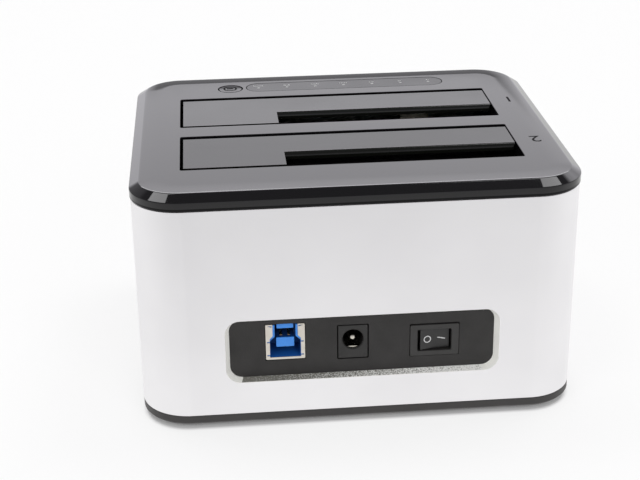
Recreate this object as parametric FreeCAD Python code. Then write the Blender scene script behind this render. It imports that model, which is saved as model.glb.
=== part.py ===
import FreeCAD, Part
import math
import os

from FreeCAD import Vector

# Two-bay dock for bare hard drives, in millimetres.
# Origin: centre of the resting plane under the feet. +X right as seen from the port side,
# +Y from the port side to the indicator side, +Z up.

# Casing
SIDE_MARGIN = 15.22          # from a slot's end to the side of the casing
CASE_CORNER = 15.0           # outside radius of the four upright corners
SLEEVE_WALL = 2.4            # extruded aluminium sleeve
FOOT_HEIGHT = 1.5
FOOT_RADIUS = 5.0
BASE_BAND = 3.2              # height of the base that shows under the sleeve
BASE_EDGE = 0.8              # bevel along the base's lower edge
BASE_FLOOR = 2.2
RIM_PROUD = 0.3              # the cover's rim stands this far out over the sleeve
RIM_ROLL_WIDTH = 1.4         # short roll at the edge of the flat top
RIM_ROLL_DROP = 0.25
RIM_FACET_WIDTH = 2.8        # sloping facet from the roll out to the crease
RIM_FACET_DROP = 1.6
RIM_BAND = 3.2               # upright band under the crease
COVER_PLATE = 2.0
SPIGOT_DEPTH = 4.0           # how far cover and base reach into the sleeve
SPIGOT_WALL = 1.6
SPIGOT_GAP = 0.2

# Drive bays, named A (indicator side) and B (port side)
SLOT_WIDTH = 104.06          # along X, for a drive 101.6 wide
SLOT_DEPTH = 29.2            # along Y, for a drive 26.1 thick
BAY_GAP = 9.7                # cover strip between the two slots
BAY_DEPTH = 49.0             # from the top face down to the seat of a drive
SMALL_MOUTH_WIDTH = 72.45    # part of the slot that the flap leaves open, for a drive 69.85 wide
SMALL_MOUTH_DEPTH = 11.5
DRIVE_CLEARANCE = 0.7        # between a drive's face and the slot's near edge
PORT_ZONE = 18.6             # from the rear panel to slot B
INDICATOR_ZONE = 24.5        # from slot A to the far wall

# Flaps and their hinges
FLAP_THICKNESS = 2.0
FLAP_RECESS = 0.3            # flap's face below the cover's face
FLAP_BEVEL = 0.4
FLAP_END_GAP = 0.45
FLAP_NEAR_GAP = 0.9
FLAP_FAR_GAP = 0.7
HINGE_SETBACK = 2.8          # hinge axis behind the slot's far edge
HINGE_DROP = 4.6             # hinge axis under the top face
PIN_RADIUS = 1.0
PIN_PROUD = 0.8              # pin beyond the outer ears
PIN_FIT = 0.03               # radial gap of the pin in the ears
BARREL_FIT = 0.06            # radial running gap of the flap's barrels on the pin
BARREL_RADIUS = 1.7
BARREL_LENGTH = 8.0
ARM_THICKNESS = 2.2          # goose-neck between flap and barrel
ARM_SPACING = 38.0           # barrel centres each side of the middle
EAR_RADIUS = 2.4
EAR_THICKNESS = 2.0
EAR_GAP = 0.3                # between an ear and the barrel beside it
SPRING_EAR_SPACING = 7.0     # ears each side of the spring
SPRING_WIRE = 0.6            # wire diameter
SPRING_COIL = 1.85           # mean radius of the coil
SPRING_TURNS = 10
SPRING_LEG = 5.1

# Drive cage
CAGE_WALL = 1.6
CAGE_FLOOR = 2.0
CAGE_SIDE_GAP = 0.5          # well wall outside the slot's ends
CAGE_NEAR_GAP = 0.2          # well wall outside the slot's near edge
CAGE_FAR_GAP = 1.0           # well wall behind the slot's far edge
COLLAR_DEPTH = 6.8           # cover's guide walls round a slot, below its plate
FLAP_SWEEP_GAP = 0.5
LUG_REACH = 8.0              # fixing lugs that stand out of the cage's sides
LUG_WIDTH = 8.0
LUG_THICKNESS = 2.0
CAGE_BOSS_LENGTH = 11.0      # cover bosses that the lugs screw to
CAGE_BOSS_RADIUS = 2.8
WEB_INSET = 8.0              # outer webs between the wells, in from the cage's ends
AIR_SLOTS = 8                # slots in each well's floor
AIR_SLOT_WIDTH = 4.0
AIR_SLOT_INSET = 14.0
AIR_SLOT_MARGIN = 3.0
LEG_RADIUS = 2.6
LEG_INSET_X = 4.5            # legs in from the wells' end walls
LEG_INSET_Y = 5.4

# Main board and its level
BOARD_STANDOFF = 15.9        # from the base's floor to the board
BOARD_THICKNESS = 1.6
BOARD_SIDE_GAP = 12.85       # board edge to sleeve
BOARD_REAR_GAP = 1.1         # board edge to the back of the rear panel
BOARD_FRONT_GAP = 5.6
NOTCH_ROOM = 0.6             # round the switch in the board
POST_RADIUS = 4.0            # upright posts in the casing's corners
POST_GAP = 2.4               # post to sleeve
SUPPORT_SIDE = 4.4           # square posts under the board
SUPPORT_X = (-36.0, -5.2, 40.0)
SUPPORT_Y = (-14.0, 14.0, 42.0)
RIB_HEIGHT = 2.0
RIB_THICKNESS = 1.4

# Drive sockets
SOCKET_BODY = 6.8            # from the board to the seat of a drive
SOCKET_LENGTH = 46.0
SOCKET_WIDTH = 8.0
SOCKET_ROOM = 0.4            # round the socket in the cage's floor
SOCKET_MIDDLE = 31.25        # socket centre in from the slot's right end
SOCKET_FROM_EDGE = 4.2       # socket centre from the slot's near edge
NOSE_HEIGHT = 5.5
NOSE_WIDTH = 4.6
NOSE_DATA = 10.6
NOSE_POWER = 21.2
NOSE_GAP = 1.6
NOSE_WALL = 0.8
TONGUE_SLOT = 1.5
NOSE_SLOT_DEPTH = 1.5        # tongue slots run this far into the socket's body
CONTACT_PITCH = 1.27
DATA_CONTACTS = 7
POWER_CONTACTS = 15
CONTACT_WIDTH = 0.7
CONTACT_THICKNESS = 0.25
NOSE_BEVEL = 0.4
GUIDE_BEVEL = 0.9
GUIDE_WIDTH = 3.6
GUIDE_HEIGHT = 8.0

# Rear panel and its cut-out in the sleeve
PANEL_THICKNESS = 2.0
PANEL_MARGIN = 4.4           # panel behind the sleeve beyond the cut-out
CUTOUT_WIDTH = 81.8
CUTOUT_HEIGHT = 20.1
CUTOUT_DROP = 5.1            # cut-out's lower edge below the board's top
CUTOUT_CORNER = 4.0
CUTOUT_BEVEL = 0.5

# USB 3.0 type B socket
USB_X = -23.2
USB_RISE = 0.35              # shell above the board
USB_WIDTH = 12.0
USB_HEIGHT = 12.2
USB_LENGTH = 16.6
USB_SHEET = 0.35
USB_WINDOW_GAP = 0.15
USB_LOWER_WIDTH = 8.7
USB_UPPER_WIDTH = 6.0
USB_LOWER_FLOOR = 1.2
USB_SHOULDER = 6.6           # height at which the lower mouth starts to narrow
USB_SHOULDER_RISE = 1.4
USB_MOUTH_DEPTH = 9.0
USB_TONGUE = (5.5, 3.2, 3.9) # width, height, height above the shell's floor
USB_BAR = (5.1, 1.6, 10.1)
USB_REVEAL = 0.45            # insulator seen all round inside the shell's opening
USB_TONGUE_SETBACK = 0.4     # tongues behind the insulator's face
USB_TONGUE_BEVEL = 0.3
USB_TAB_FROM_FACE = 10.0     # shell's board tabs
USB_TAB_WIDTH = 2.0
USB_CONTACT_SETBACK = 2.2
USB_CONTACT_THICKNESS = 0.25
USB_LOWER_COUNT = 2
USB_LOWER_PITCH = 2.4
USB_LOWER_STRIP = 0.8
USB_UPPER_COUNT = 5
USB_UPPER_PITCH = 0.95
USB_UPPER_STRIP = 0.4

# DC inlet
JACK_X = -2.7
JACK_WIDTH = 9.0
JACK_HEIGHT = 11.0
JACK_LENGTH = 14.2
JACK_FLANGE = 1.6
JACK_BODY_INSET = 0.4        # body behind the flange is this much smaller all round
JACK_WINDOW_GAP = 0.15
JACK_BORE = 3.15
JACK_BORE_DEPTH = 9.5
JACK_BORE_RISE = 0.8         # bore above the middle of the face
JACK_PIN_RADIUS = 1.0
JACK_PIN_SETBACK = 1.0
JACK_LEAD_IN = 0.3
BLADE_WIDTH = 2.2
BLADE_THICKNESS = 0.5
BLADE_REACH = 2.4            # solder blades under the board
BLADE_FIT = 0.1              # holes in the board, wider than what goes through
JACK_BLADES = ((0.0, 7.0), (0.0, 13.2), (2.6, 10.6))     # across and behind the face
LEAF_WIDTH = 1.8             # spring leaf along the bore's floor
LEAF_THICKNESS = 0.3
LEAF_SETBACK = 2.5
LEAF_CLEARANCE = 0.15
LEAF_BOW = 0.5

# Rocker switch
SWITCH_X = 22.3
SWITCH_RISE = 4.2            # switch centre above the board's top
BEZEL_WIDTH = 15.0
BEZEL_HEIGHT = 10.5
BEZEL_THICKNESS = 0.8
BEZEL_GAP = 0.3
SWITCH_BODY_GAP = 0.1
SWITCH_OPENING_WIDTH = 10.4
SWITCH_OPENING_HEIGHT = 7.1
SWITCH_WALL = 0.9
SWITCH_LENGTH = 11.5
SWITCH_FLOOR = 5.0
ROCKER_WIDTH = 9.1
ROCKER_SIDE_GAP = 0.2
ROCKER_TILT = 8.0            # degrees each side of level
ROCKER_DISH = 3.0            # degrees that each half of the face slopes to the middle
ROCKER_SINK = 0.25           # raised end below the bezel's face
ROCKER_PIVOT_DEPTH = 1.2     # pivot under the ends of the face
ROCKER_DEPTH = 2.6
ROCKER_SHOULDER = 1.6        # straight part of the rocker's ends
ROCKER_BELLY = 0.4           # rounding of its back
BEZEL_BEVEL = 0.2
TRUNNION_RADIUS = 0.8
TRUNNION_FIT = 0.06
TERMINAL_WIDTH = 2.8
TERMINAL_THICKNESS = 0.6
TERMINAL_SPACING = 5.0
TERMINAL_RUN = 2.2           # behind the body, before the blade turns down

# Indicators and button
LED_COUNT = 7
LED_PITCH = 10.0
LED_FIRST_X = -25.2
LED_FROM_SLOT = 10.6         # row of lights behind slot A
LED_SIZE = (2.0, 1.3, 1.1)
WINDOW_END = 4.7             # window beyond the outer lights, on average
WINDOW_SHIFT = 0.35          # window's middle to the right of the row's middle
WINDOW_HEIGHT = 9.6
WINDOW_OFFSET = 0.6          # window's middle behind the row of lights
WINDOW_THICKNESS = 1.2
WINDOW_LEDGE = 1.0
WINDOW_GAP = 0.12
GUIDE_BAR_THICKNESS = 1.3
GUIDE_BAR_DEPTH = 2.6
GUIDE_POST_SIDE = 2.2
GUIDE_POST_GAP = 0.2         # above each light
BUTTON_X = -35.0
BUTTON_HOLE = 4.3
BUTTON_GAP = 0.3
BUTTON_FLANGE = 0.9
BUTTON_FLANGE_GAP = 0.35     # under the cover's plate
BUTTON_BEVEL = 0.2
BUTTON_TRAVEL = 0.6
TACT_SIZE = 6.0
TACT_HEIGHT = 3.5
TACT_STEM = 1.7
TACT_STEM_RISE = 0.9
TACT_FIT = 0.08
TACT_FLOOR = 0.1
TACT_LEG = (1.2, 0.7, 0.3)   # length, width, thickness
SMALL_BOARD_THICKNESS = 1.2
SMALL_BOARD_DROP = 7.5       # indicator board's top under the cover's top face
SMALL_BOARD_HALF = 44.0
SMALL_BOARD_NEAR = 6.8       # board's near edge behind slot A
SMALL_BOARD_DEPTH = 12.0
SMALL_POST_RADIUS = 2.4
SMALL_POST_X = 41.2

# Harness between the boards
PLUG_SIZE = (10.0, 5.0, 5.2)
PLUG_UPPER_X = 30.0
PLUG_LOWER_X = 36.0
PLUG_FROM_SLOT = 13.0        # plugs behind slot A
LATCH_WIDTH = 3.0
LATCH_THICKNESS = 0.8
RIBBON_WIDTH = 4.0
RIBBON_THICKNESS = 1.0
RIBBON_BEND = 20.0           # radius of both bends

# Fasteners
SCREW_RADIUS = 1.5
SCREW_HEAD_RADIUS = 2.7
SCREW_HEAD_HEIGHT = 1.8
SCREW_RECESS = 0.9
SCREW_GRIP = 10.5            # case screws: thread length in the cover's post
SMALL_SCREW_RADIUS = 1.0
SMALL_SCREW_HEAD_RADIUS = 1.9
SMALL_SCREW_HEAD_HEIGHT = 1.3
SMALL_SCREW_LENGTH = 4.5     # grip in the plastic
SCREW_PASS = 1.2             # radius of the holes that small screws pass through
THREAD_FIT = 0.05            # screw under its hole, in radius
SCREW_ROOM = 0.2             # round the case screws in the base's posts
SHOULDER_DEPTH = 8.0         # case screw's shoulder below the joint of the posts
POST_JOINT = 44.0            # height at which base posts meet cover posts

# Components on the main board
BRIDGE_CHIP_PLACE = (-32.0, 0.0)
BRIDGE_CHIP_SIZE = (10.0, 10.0, 1.4)
BRIDGE_CHIP_LEGS = 6
BRIDGE_CHIP_PITCH = 1.5
SMALL_CHIP_PLACES = ((-12.0, -44.0), (42.0, -44.0), (-12.0, 2.0))
SMALL_CHIP_SIZE = (5.0, 3.9, 1.5)
SMALL_CHIP_LEGS = 3
SMALL_CHIP_PITCH = 1.6
CHIP_BEVEL = 0.2
CHIP_STANDOFF = 0.1
CHIP_LEG_REACH = 0.9
CHIP_LEG_THICKNESS = 0.25
CAPACITOR_PLACES = ((-38.0, 7.0), (-26.0, 4.5), (-14.0, 7.0))    # across, and in from the front edge
CAPACITOR_RADIUS = 3.15
CAPACITOR_HEIGHT = 7.7
CAPACITOR_SEAT = 1.0
CAPACITOR_SIDES = 12
CAPACITOR_SEAT_MARGIN = 0.3
INDUCTOR_PLACES = ((0.0, 7.0), (12.0, 7.0))
INDUCTOR_SIZE = 6.6
INDUCTOR_HEIGHT = 3.4
CRYSTAL_PLACE = (-30.0, 14.0)
CRYSTAL_LENGTH = 10.5
CRYSTAL_WIDTH = 4.4
CRYSTAL_HEIGHT = 3.4
CRYSTAL_CORNER = 1.3

# Levels and places that follow from the sizes above
ORIGIN = Vector(0, 0, 0)
RIGHT = Vector(1, 0, 0)
BACK = Vector(0, 1, 0)
UP = Vector(0, 0, 1)
DOWN = Vector(0, 0, -1)

FLOOR_Z = FOOT_HEIGHT + BASE_FLOOR
SLEEVE_Z = FOOT_HEIGHT + BASE_BAND
BOARD_Z = FLOOR_Z + BOARD_STANDOFF
BOARD_TOP = BOARD_Z + BOARD_THICKNESS
SEAT_Z = BOARD_TOP + SOCKET_BODY
TOP_Z = SEAT_Z + BAY_DEPTH
CREASE_Z = TOP_Z - RIM_ROLL_DROP - RIM_FACET_DROP
SLEEVE_TOP = CREASE_Z - RIM_BAND
PLATE_Z = TOP_Z - COVER_PLATE
COLLAR_Z = PLATE_Z - COLLAR_DEPTH

CASE_WIDTH = SLOT_WIDTH + 2 * SIDE_MARGIN
CASE_DEPTH = 2 * SLEEVE_WALL + PORT_ZONE + 2 * SLOT_DEPTH + BAY_GAP + INDICATOR_ZONE
REAR_Y = -CASE_DEPTH / 2
PANEL_Y = REAR_Y + SLEEVE_WALL
PANEL_BACK = PANEL_Y + PANEL_THICKNESS
INNER_WIDTH = CASE_WIDTH - 2 * SLEEVE_WALL
INNER_DEPTH = CASE_DEPTH - 2 * SLEEVE_WALL
INNER_CORNER = CASE_CORNER - SLEEVE_WALL

SLOT_B = PANEL_Y + PORT_ZONE
SLOT_A = SLOT_B + SLOT_DEPTH + BAY_GAP
SLOT_END = SLOT_WIDTH / 2
AXIS_Z = TOP_Z - HINGE_DROP
AXIS_OFFSET = SLOT_DEPTH + HINGE_SETBACK
LED_Y = SLOT_A + SLOT_DEPTH + LED_FROM_SLOT
LED_MIDDLE = LED_FIRST_X + LED_PITCH * (LED_COUNT - 1) / 2
WINDOW_X = LED_MIDDLE + WINDOW_SHIFT
WINDOW_Y = LED_Y + WINDOW_OFFSET
WINDOW_LENGTH = LED_PITCH * (LED_COUNT - 1) + 2 * WINDOW_END
SMALL_BOARD_TOP = TOP_Z - SMALL_BOARD_DROP
SMALL_BOARD_Z = SMALL_BOARD_TOP - SMALL_BOARD_THICKNESS
SMALL_BOARD_Y = SLOT_A + SLOT_DEPTH + SMALL_BOARD_NEAR
PLUG_Y = SLOT_A + SLOT_DEPTH + PLUG_FROM_SLOT
SOCKET_X = SLOT_END - SOCKET_MIDDLE

WELL_END = SLOT_END + CAGE_SIDE_GAP
CAGE_END = WELL_END + CAGE_WALL
CAGE_BOTTOM = SEAT_Z - CAGE_FLOOR
LUG_X = CAGE_END + LUG_REACH / 2 + 0.5
LUG_PLACES = (SLOT_B + SLOT_DEPTH / 2, SLOT_A + SLOT_DEPTH / 2)
LUG_Z = PLATE_Z - CAGE_BOSS_LENGTH
LEG_X = WELL_END - LEG_INSET_X
LEG_PLACES = (SLOT_B + LEG_INSET_Y, SLOT_A + SLOT_DEPTH - LEG_INSET_Y)

USB_Z = BOARD_TOP + USB_RISE + USB_HEIGHT / 2
JACK_BOTTOM = BOARD_TOP - JACK_BODY_INSET
JACK_Z = JACK_BOTTOM + JACK_HEIGHT / 2
SWITCH_Z = BOARD_TOP + SWITCH_RISE
CUTOUT_Z = BOARD_TOP - CUTOUT_DROP + CUTOUT_HEIGHT / 2
PIVOT_RISE = ROCKER_WIDTH / 2 * math.sin(math.radians(ROCKER_TILT))
PIVOT_BACK = ROCKER_SINK + PIVOT_RISE + ROCKER_PIVOT_DEPTH * math.cos(math.radians(ROCKER_TILT))


def box(x0, x1, y0, y1, z0, z1):
    """Upright box between two corners."""
    return Part.makeBox(x1 - x0, y1 - y0, z1 - z0, Vector(x0, y0, z0))


def rod(base, radius, length, axis=UP):
    """Round rod from a point along an axis."""
    return Part.makeCylinder(radius, length, base, axis)


def fuse(pieces):
    """One solid from pieces that meet, with its flat faces joined up."""
    first = pieces[0]
    if len(pieces) == 1:
        return first
    return first.fuse(pieces[1:]).removeSplitter()


def cut(body, tools):
    """A body less every tool in the list."""
    return body.cut(tools)


def rounded_wire(centre, along, across, length, height, radius):
    """Rectangle with round corners, in the plane of two unit vectors."""
    a = length / 2
    b = height / 2
    k = radius * (1 - math.sqrt(0.5))

    def at(u, v):
        return centre + along * u + across * v

    sides = []
    for turn in range(4):
        su = (1, -1, -1, 1)[turn]
        sv = (1, 1, -1, -1)[turn]
        before = at(su * a, sv * (b - radius))
        after = at(su * (a - radius), sv * b)
        if turn % 2:
            before, after = after, before
        middle = at(su * (a - k), sv * (b - k))
        sides.append((before, middle, after))
    edges = []
    for index, (start, middle, end) in enumerate(sides):
        edges.append(Part.Arc(start, middle, end).toShape())
        following = sides[(index + 1) % 4][0]
        if end.distanceToPoint(following) > 1e-6:
            edges.append(Part.LineSegment(end, following).toShape())
    return Part.Wire(edges)


def rounded_slab(width, depth, radius, z0, z1, x=0.0, y=0.0):
    """Level slab with round upright corners."""
    wire = rounded_wire(Vector(x, y, z0), RIGHT, BACK, width, depth, radius)
    return Part.Face(wire).extrude(UP * (z1 - z0))


def rounded_plug(x, z, width, height, radius, y0, y1):
    """Block that runs along Y and shows a rounded rectangle to the port side."""
    wire = rounded_wire(Vector(x, y0, z), RIGHT, UP, width, height, radius)
    return Part.Face(wire).extrude(BACK * (y1 - y0))


def plug(x, z, width, height, y0, y1):
    """Block that runs along Y and shows a plain rectangle to the port side."""
    return box(x - width / 2, x + width / 2, y0, y1, z - height / 2, z + height / 2)


def polygon_prism(points, direction):
    """Straight extrusion of a closed polygon."""
    wire = Part.makePolygon(list(points) + [points[0]])
    return Part.Face(wire).extrude(direction)


def prism(base, radius, length, axis=UP, sides=8):
    """Regular prism from a point along an axis, with the radius measured to its flats."""
    across, over = (RIGHT, BACK) if axis == UP else (BACK, UP)
    corner = radius / math.cos(math.pi / sides)
    points = []
    for index in range(sides):
        angle = (2 * index + 1) * math.pi / sides
        points.append(base + across * (corner * math.cos(angle)) + over * (corner * math.sin(angle)))
    return polygon_prism(points, axis * length)


def edged_block(width, depth, corner, section):
    """Solid with a rounded outline whose edge has one section all the way round.

    The section is a face in the XZ plane, with the outline at x = 0 and the inside at
    x = -corner, where it is as tall as the block.
    """
    run_x = width / 2 - corner
    run_y = depth / 2 - corner
    placed = section.translated(RIGHT * corner)
    quarter = placed.revolve(ORIGIN, UP, 90)
    box_z = section.BoundBox
    pieces = [box(-run_x, run_x, -run_y, run_y, box_z.ZMin, box_z.ZMax)]
    corners = ((run_x, run_y), (-run_x, run_y), (-run_x, -run_y), (run_x, -run_y))
    for index, (x, y) in enumerate(corners):
        turned = quarter.copy()
        turned.rotate(ORIGIN, UP, 90 * index)
        turned.translate(Vector(x, y, 0))
        pieces.append(turned)
        side = placed.copy()
        side.rotate(ORIGIN, UP, 90 * index)
        from_x, from_y = corners[index - 1]
        side.translate(Vector(from_x, from_y, 0))
        pieces.append(side.extrude(Vector(x - from_x, y - from_y, 0)))
    return fuse(pieces)


def sleeve_lining(gap, wall, z0, z1):
    """Ring that stands inside the sleeve at a gap from it."""
    outer = rounded_slab(INNER_WIDTH - 2 * gap, INNER_DEPTH - 2 * gap, INNER_CORNER - gap, z0, z1)
    inset = gap + wall
    inner = rounded_slab(
        INNER_WIDTH - 2 * inset, INNER_DEPTH - 2 * inset, INNER_CORNER - inset, z0 - 1, z1 + 1
    )
    return outer.cut(inner)


def corner_places():
    """Centres of the four corner posts."""
    reach = (INNER_CORNER - POST_RADIUS - POST_GAP) * math.sqrt(0.5)
    x = CASE_WIDTH / 2 - CASE_CORNER + reach
    y = CASE_DEPTH / 2 - CASE_CORNER + reach
    return [(sx * x, sy * y) for sx in (-1, 1) for sy in (-1, 1)]


def screw(x, y, head_z, radius, head_radius, head_height, length):
    """Screw that points up, with its flat head under head_z; its thread is a plain prism."""
    head = prism(Vector(x, y, head_z - head_height), head_radius, head_height)
    shank = prism(Vector(x, y, head_z), radius, length)
    return fuse([head, shank])


# Casing

def make_sleeve():
    """Extruded aluminium sleeve with the bevelled cut-out for the ports."""
    outer = rounded_slab(CASE_WIDTH, CASE_DEPTH, CASE_CORNER, SLEEVE_Z, SLEEVE_TOP)
    inner = rounded_slab(INNER_WIDTH, INNER_DEPTH, INNER_CORNER, SLEEVE_Z - 1, SLEEVE_TOP + 1)
    hole = rounded_plug(0, CUTOUT_Z, CUTOUT_WIDTH, CUTOUT_HEIGHT, CUTOUT_CORNER, REAR_Y - 1, PANEL_Y + 1)
    wide = rounded_wire(
        Vector(0, REAR_Y, CUTOUT_Z), RIGHT, UP,
        CUTOUT_WIDTH + 2 * CUTOUT_BEVEL, CUTOUT_HEIGHT + 2 * CUTOUT_BEVEL, CUTOUT_CORNER + CUTOUT_BEVEL,
    )
    narrow = rounded_wire(
        Vector(0, REAR_Y + CUTOUT_BEVEL, CUTOUT_Z), RIGHT, UP, CUTOUT_WIDTH, CUTOUT_HEIGHT, CUTOUT_CORNER
    )
    bevel = Part.makeLoft([wide, narrow], True, True)
    return cut(outer, [inner, hole, bevel])


def rim_section():
    """Half section of the cover's edge: upright band, crease, sloping facet, short roll and flat top."""
    radius = (RIM_ROLL_WIDTH ** 2 + RIM_ROLL_DROP ** 2) / (2 * RIM_ROLL_DROP)
    half = math.asin(RIM_ROLL_WIDTH / radius) / 2
    corner = CASE_CORNER + RIM_PROUD
    foot = Vector(0, 0, SLEEVE_TOP)
    crease = Vector(0, 0, CREASE_Z)
    facet_end = Vector(-RIM_FACET_WIDTH, 0, CREASE_Z + RIM_FACET_DROP)
    flat = Vector(-RIM_FACET_WIDTH - RIM_ROLL_WIDTH, 0, TOP_Z)
    rolled = Vector(flat.x + radius * math.sin(half), 0, TOP_Z - radius * (1 - math.cos(half)))
    middle_top = Vector(-corner, 0, TOP_Z)
    middle_low = Vector(-corner, 0, SLEEVE_TOP)
    edges = [
        Part.LineSegment(foot, crease).toShape(),
        Part.LineSegment(crease, facet_end).toShape(),
        Part.Arc(facet_end, rolled, flat).toShape(),
        Part.LineSegment(flat, middle_top).toShape(),
        Part.LineSegment(middle_top, middle_low).toShape(),
        Part.LineSegment(middle_low, foot).toShape(),
    ]
    return Part.Face(Part.Wire(edges))


def hinge_ears(near_edge):
    """Ears under the cover that carry one flap's pin: one outside each barrel and a pair round the spring."""
    y = near_edge + AXIS_OFFSET
    beside_barrel = BARREL_LENGTH / 2 + EAR_GAP + EAR_THICKNESS / 2
    offsets = (ARM_SPACING + beside_barrel, SPRING_EAR_SPACING)
    flat = EAR_RADIUS * math.tan(math.pi / 8)
    ears = []
    for x in [side * offset for side in (-1, 1) for offset in offsets]:
        left = x - EAR_THICKNESS / 2
        outline = [
            (-EAR_RADIUS, PLATE_Z), (-EAR_RADIUS, AXIS_Z - flat), (-flat, AXIS_Z - EAR_RADIUS),
            (flat, AXIS_Z - EAR_RADIUS), (EAR_RADIUS, AXIS_Z - flat), (EAR_RADIUS, PLATE_Z),
        ]
        ears.append(polygon_prism([Vector(left, y + v, z) for v, z in outline], RIGHT * EAR_THICKNESS))
    return ears


def make_top_cover():
    """Glossy moulded cover: rolled rim, spigot, slot collars, hinge ears, bosses and posts."""
    shell = edged_block(
        CASE_WIDTH + 2 * RIM_PROUD, CASE_DEPTH + 2 * RIM_PROUD, CASE_CORNER + RIM_PROUD, rim_section()
    )
    inset = SPIGOT_GAP + SPIGOT_WALL
    room = rounded_slab(
        INNER_WIDTH - 2 * inset, INNER_DEPTH - 2 * inset, INNER_CORNER - inset, SLEEVE_TOP - 1, PLATE_Z
    )
    pieces = [shell.cut(room), sleeve_lining(SPIGOT_GAP, SPIGOT_WALL, SLEEVE_TOP - SPIGOT_DEPTH, SLEEVE_TOP)]
    for near_edge in (SLOT_A, SLOT_B):
        collar = box(
            -SLOT_END - CAGE_WALL, SLOT_END + CAGE_WALL,
            near_edge - CAGE_WALL, near_edge + SLOT_DEPTH, COLLAR_Z, PLATE_Z
        )
        pieces.append(collar)
        pieces.extend(hinge_ears(near_edge))
    for x in (-LUG_X, LUG_X):
        for y in LUG_PLACES:
            pieces.append(prism(Vector(x, y, LUG_Z), CAGE_BOSS_RADIUS, PLATE_Z - LUG_Z))
    for x, y in corner_places():
        pieces.append(prism(Vector(x, y, POST_JOINT), POST_RADIUS, PLATE_Z - POST_JOINT))
    for x, y in small_board_posts():
        pieces.append(prism(Vector(x, y, SMALL_BOARD_TOP), SMALL_POST_RADIUS, PLATE_Z - SMALL_BOARD_TOP))
    cover = fuse(pieces)
    holes = []
    for near_edge in (SLOT_A, SLOT_B):
        far_edge = near_edge + SLOT_DEPTH
        holes.append(box(-SLOT_END, SLOT_END, near_edge, far_edge, COLLAR_Z - 1, TOP_Z + 1))
        axis = Vector(-SLOT_END, near_edge + AXIS_OFFSET, AXIS_Z)
        holes.append(prism(axis, PIN_RADIUS + PIN_FIT, SLOT_WIDTH, RIGHT))
    upper = window_slab(0.0, TOP_Z - WINDOW_THICKNESS, TOP_Z + 1)
    lower = window_slab(-WINDOW_LEDGE, PLATE_Z - 1, TOP_Z)
    holes.extend([upper, lower])
    holes.append(rod(Vector(BUTTON_X, LED_Y, PLATE_Z - 1), BUTTON_HOLE, COVER_PLATE + 2))
    for x in (-LUG_X, LUG_X):
        for y in LUG_PLACES:
            holes.append(prism(Vector(x, y, LUG_Z - 1), SMALL_SCREW_RADIUS, SMALL_SCREW_LENGTH + 2))
    for x, y in corner_places():
        holes.append(prism(Vector(x, y, POST_JOINT - 1), SCREW_RADIUS, SCREW_GRIP + 2))
    for x, y in small_board_posts():
        holes.append(prism(Vector(x, y, SMALL_BOARD_TOP - 1), SMALL_SCREW_RADIUS, SMALL_SCREW_LENGTH + 1))
    return cut(cover, holes)


def window_slab(margin, z0, z1):
    """Stadium-shaped slab round the row of lights, grown by a margin."""
    height = WINDOW_HEIGHT + 2 * margin
    return rounded_slab(
        WINDOW_LENGTH + 2 * margin, height, height / 2 - 0.001, z0, z1, WINDOW_X, WINDOW_Y
    )


def make_base():
    """Moulded base: bevelled band, spigot, corner posts, board supports, panel ribs and a rib grid."""
    corner = CASE_CORNER
    outline = [
        Vector(-BASE_EDGE, 0, FOOT_HEIGHT),
        Vector(0, 0, FOOT_HEIGHT + BASE_EDGE),
        Vector(0, 0, SLEEVE_Z),
        Vector(-corner, 0, SLEEVE_Z),
        Vector(-corner, 0, FOOT_HEIGHT),
    ]
    section = Part.Face(Part.makePolygon(outline + [outline[0]]))
    shell = edged_block(CASE_WIDTH, CASE_DEPTH, corner, section)
    inset = SPIGOT_GAP + SPIGOT_WALL
    room = rounded_slab(
        INNER_WIDTH - 2 * inset, INNER_DEPTH - 2 * inset, INNER_CORNER - inset, FLOOR_Z, SLEEVE_Z + 1
    )
    pieces = [shell.cut(room), sleeve_lining(SPIGOT_GAP, SPIGOT_WALL, SLEEVE_Z, SLEEVE_Z + SPIGOT_DEPTH)]
    for x, y in corner_places():
        pieces.append(prism(Vector(x, y, FOOT_HEIGHT), POST_RADIUS, POST_JOINT - FOOT_HEIGHT))
    for x, y in support_places():
        pieces.append(blade_block(x, y, SUPPORT_SIDE, SUPPORT_SIDE, FLOOR_Z, BOARD_Z))
    rib_top = FLOOR_Z + RIB_HEIGHT
    half_rib = RIB_THICKNESS / 2
    end = INNER_WIDTH / 2 - inset
    side = INNER_DEPTH / 2 - inset
    for x in SUPPORT_X:
        pieces.append(box(x - half_rib, x + half_rib, -side, side, FLOOR_Z, rib_top))
    for y in SUPPORT_Y:
        pieces.append(box(-end, end, y - half_rib, y + half_rib, FLOOR_Z, rib_top))
    rib_x = CUTOUT_WIDTH / 2
    for x in (-rib_x, rib_x):
        pieces.append(
            box(x - half_rib, x + half_rib, PANEL_BACK, PANEL_BACK + 4 * RIB_THICKNESS, FLOOR_Z, BOARD_Z - 1)
        )
    base = fuse(pieces)
    holes = []
    for x, y in corner_places():
        shoulder = POST_JOINT - SHOULDER_DEPTH
        head = SCREW_HEAD_RADIUS + SCREW_ROOM
        holes.append(prism(Vector(x, y, FOOT_HEIGHT - 1), head, shoulder - FOOT_HEIGHT + 1))
        holes.append(prism(Vector(x, y, shoulder - 1), SCREW_RADIUS + SCREW_ROOM, SHOULDER_DEPTH + 2))
    return cut(base, holes)


def make_rubber_feet():
    """Four round rubber feet stuck under the base over the screw holes."""
    return Part.makeCompound([rod(Vector(x, y, 0), FOOT_RADIUS, FOOT_HEIGHT) for x, y in corner_places()])


def make_case_screws():
    """Four screws that draw the base and the cover together round the sleeve."""
    head_z = POST_JOINT - SHOULDER_DEPTH
    length = SHOULDER_DEPTH + SCREW_GRIP
    return Part.makeCompound([
        screw(x, y, head_z, SCREW_RADIUS - THREAD_FIT, SCREW_HEAD_RADIUS, SCREW_HEAD_HEIGHT, length)
        for x, y in corner_places()
    ])


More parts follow.
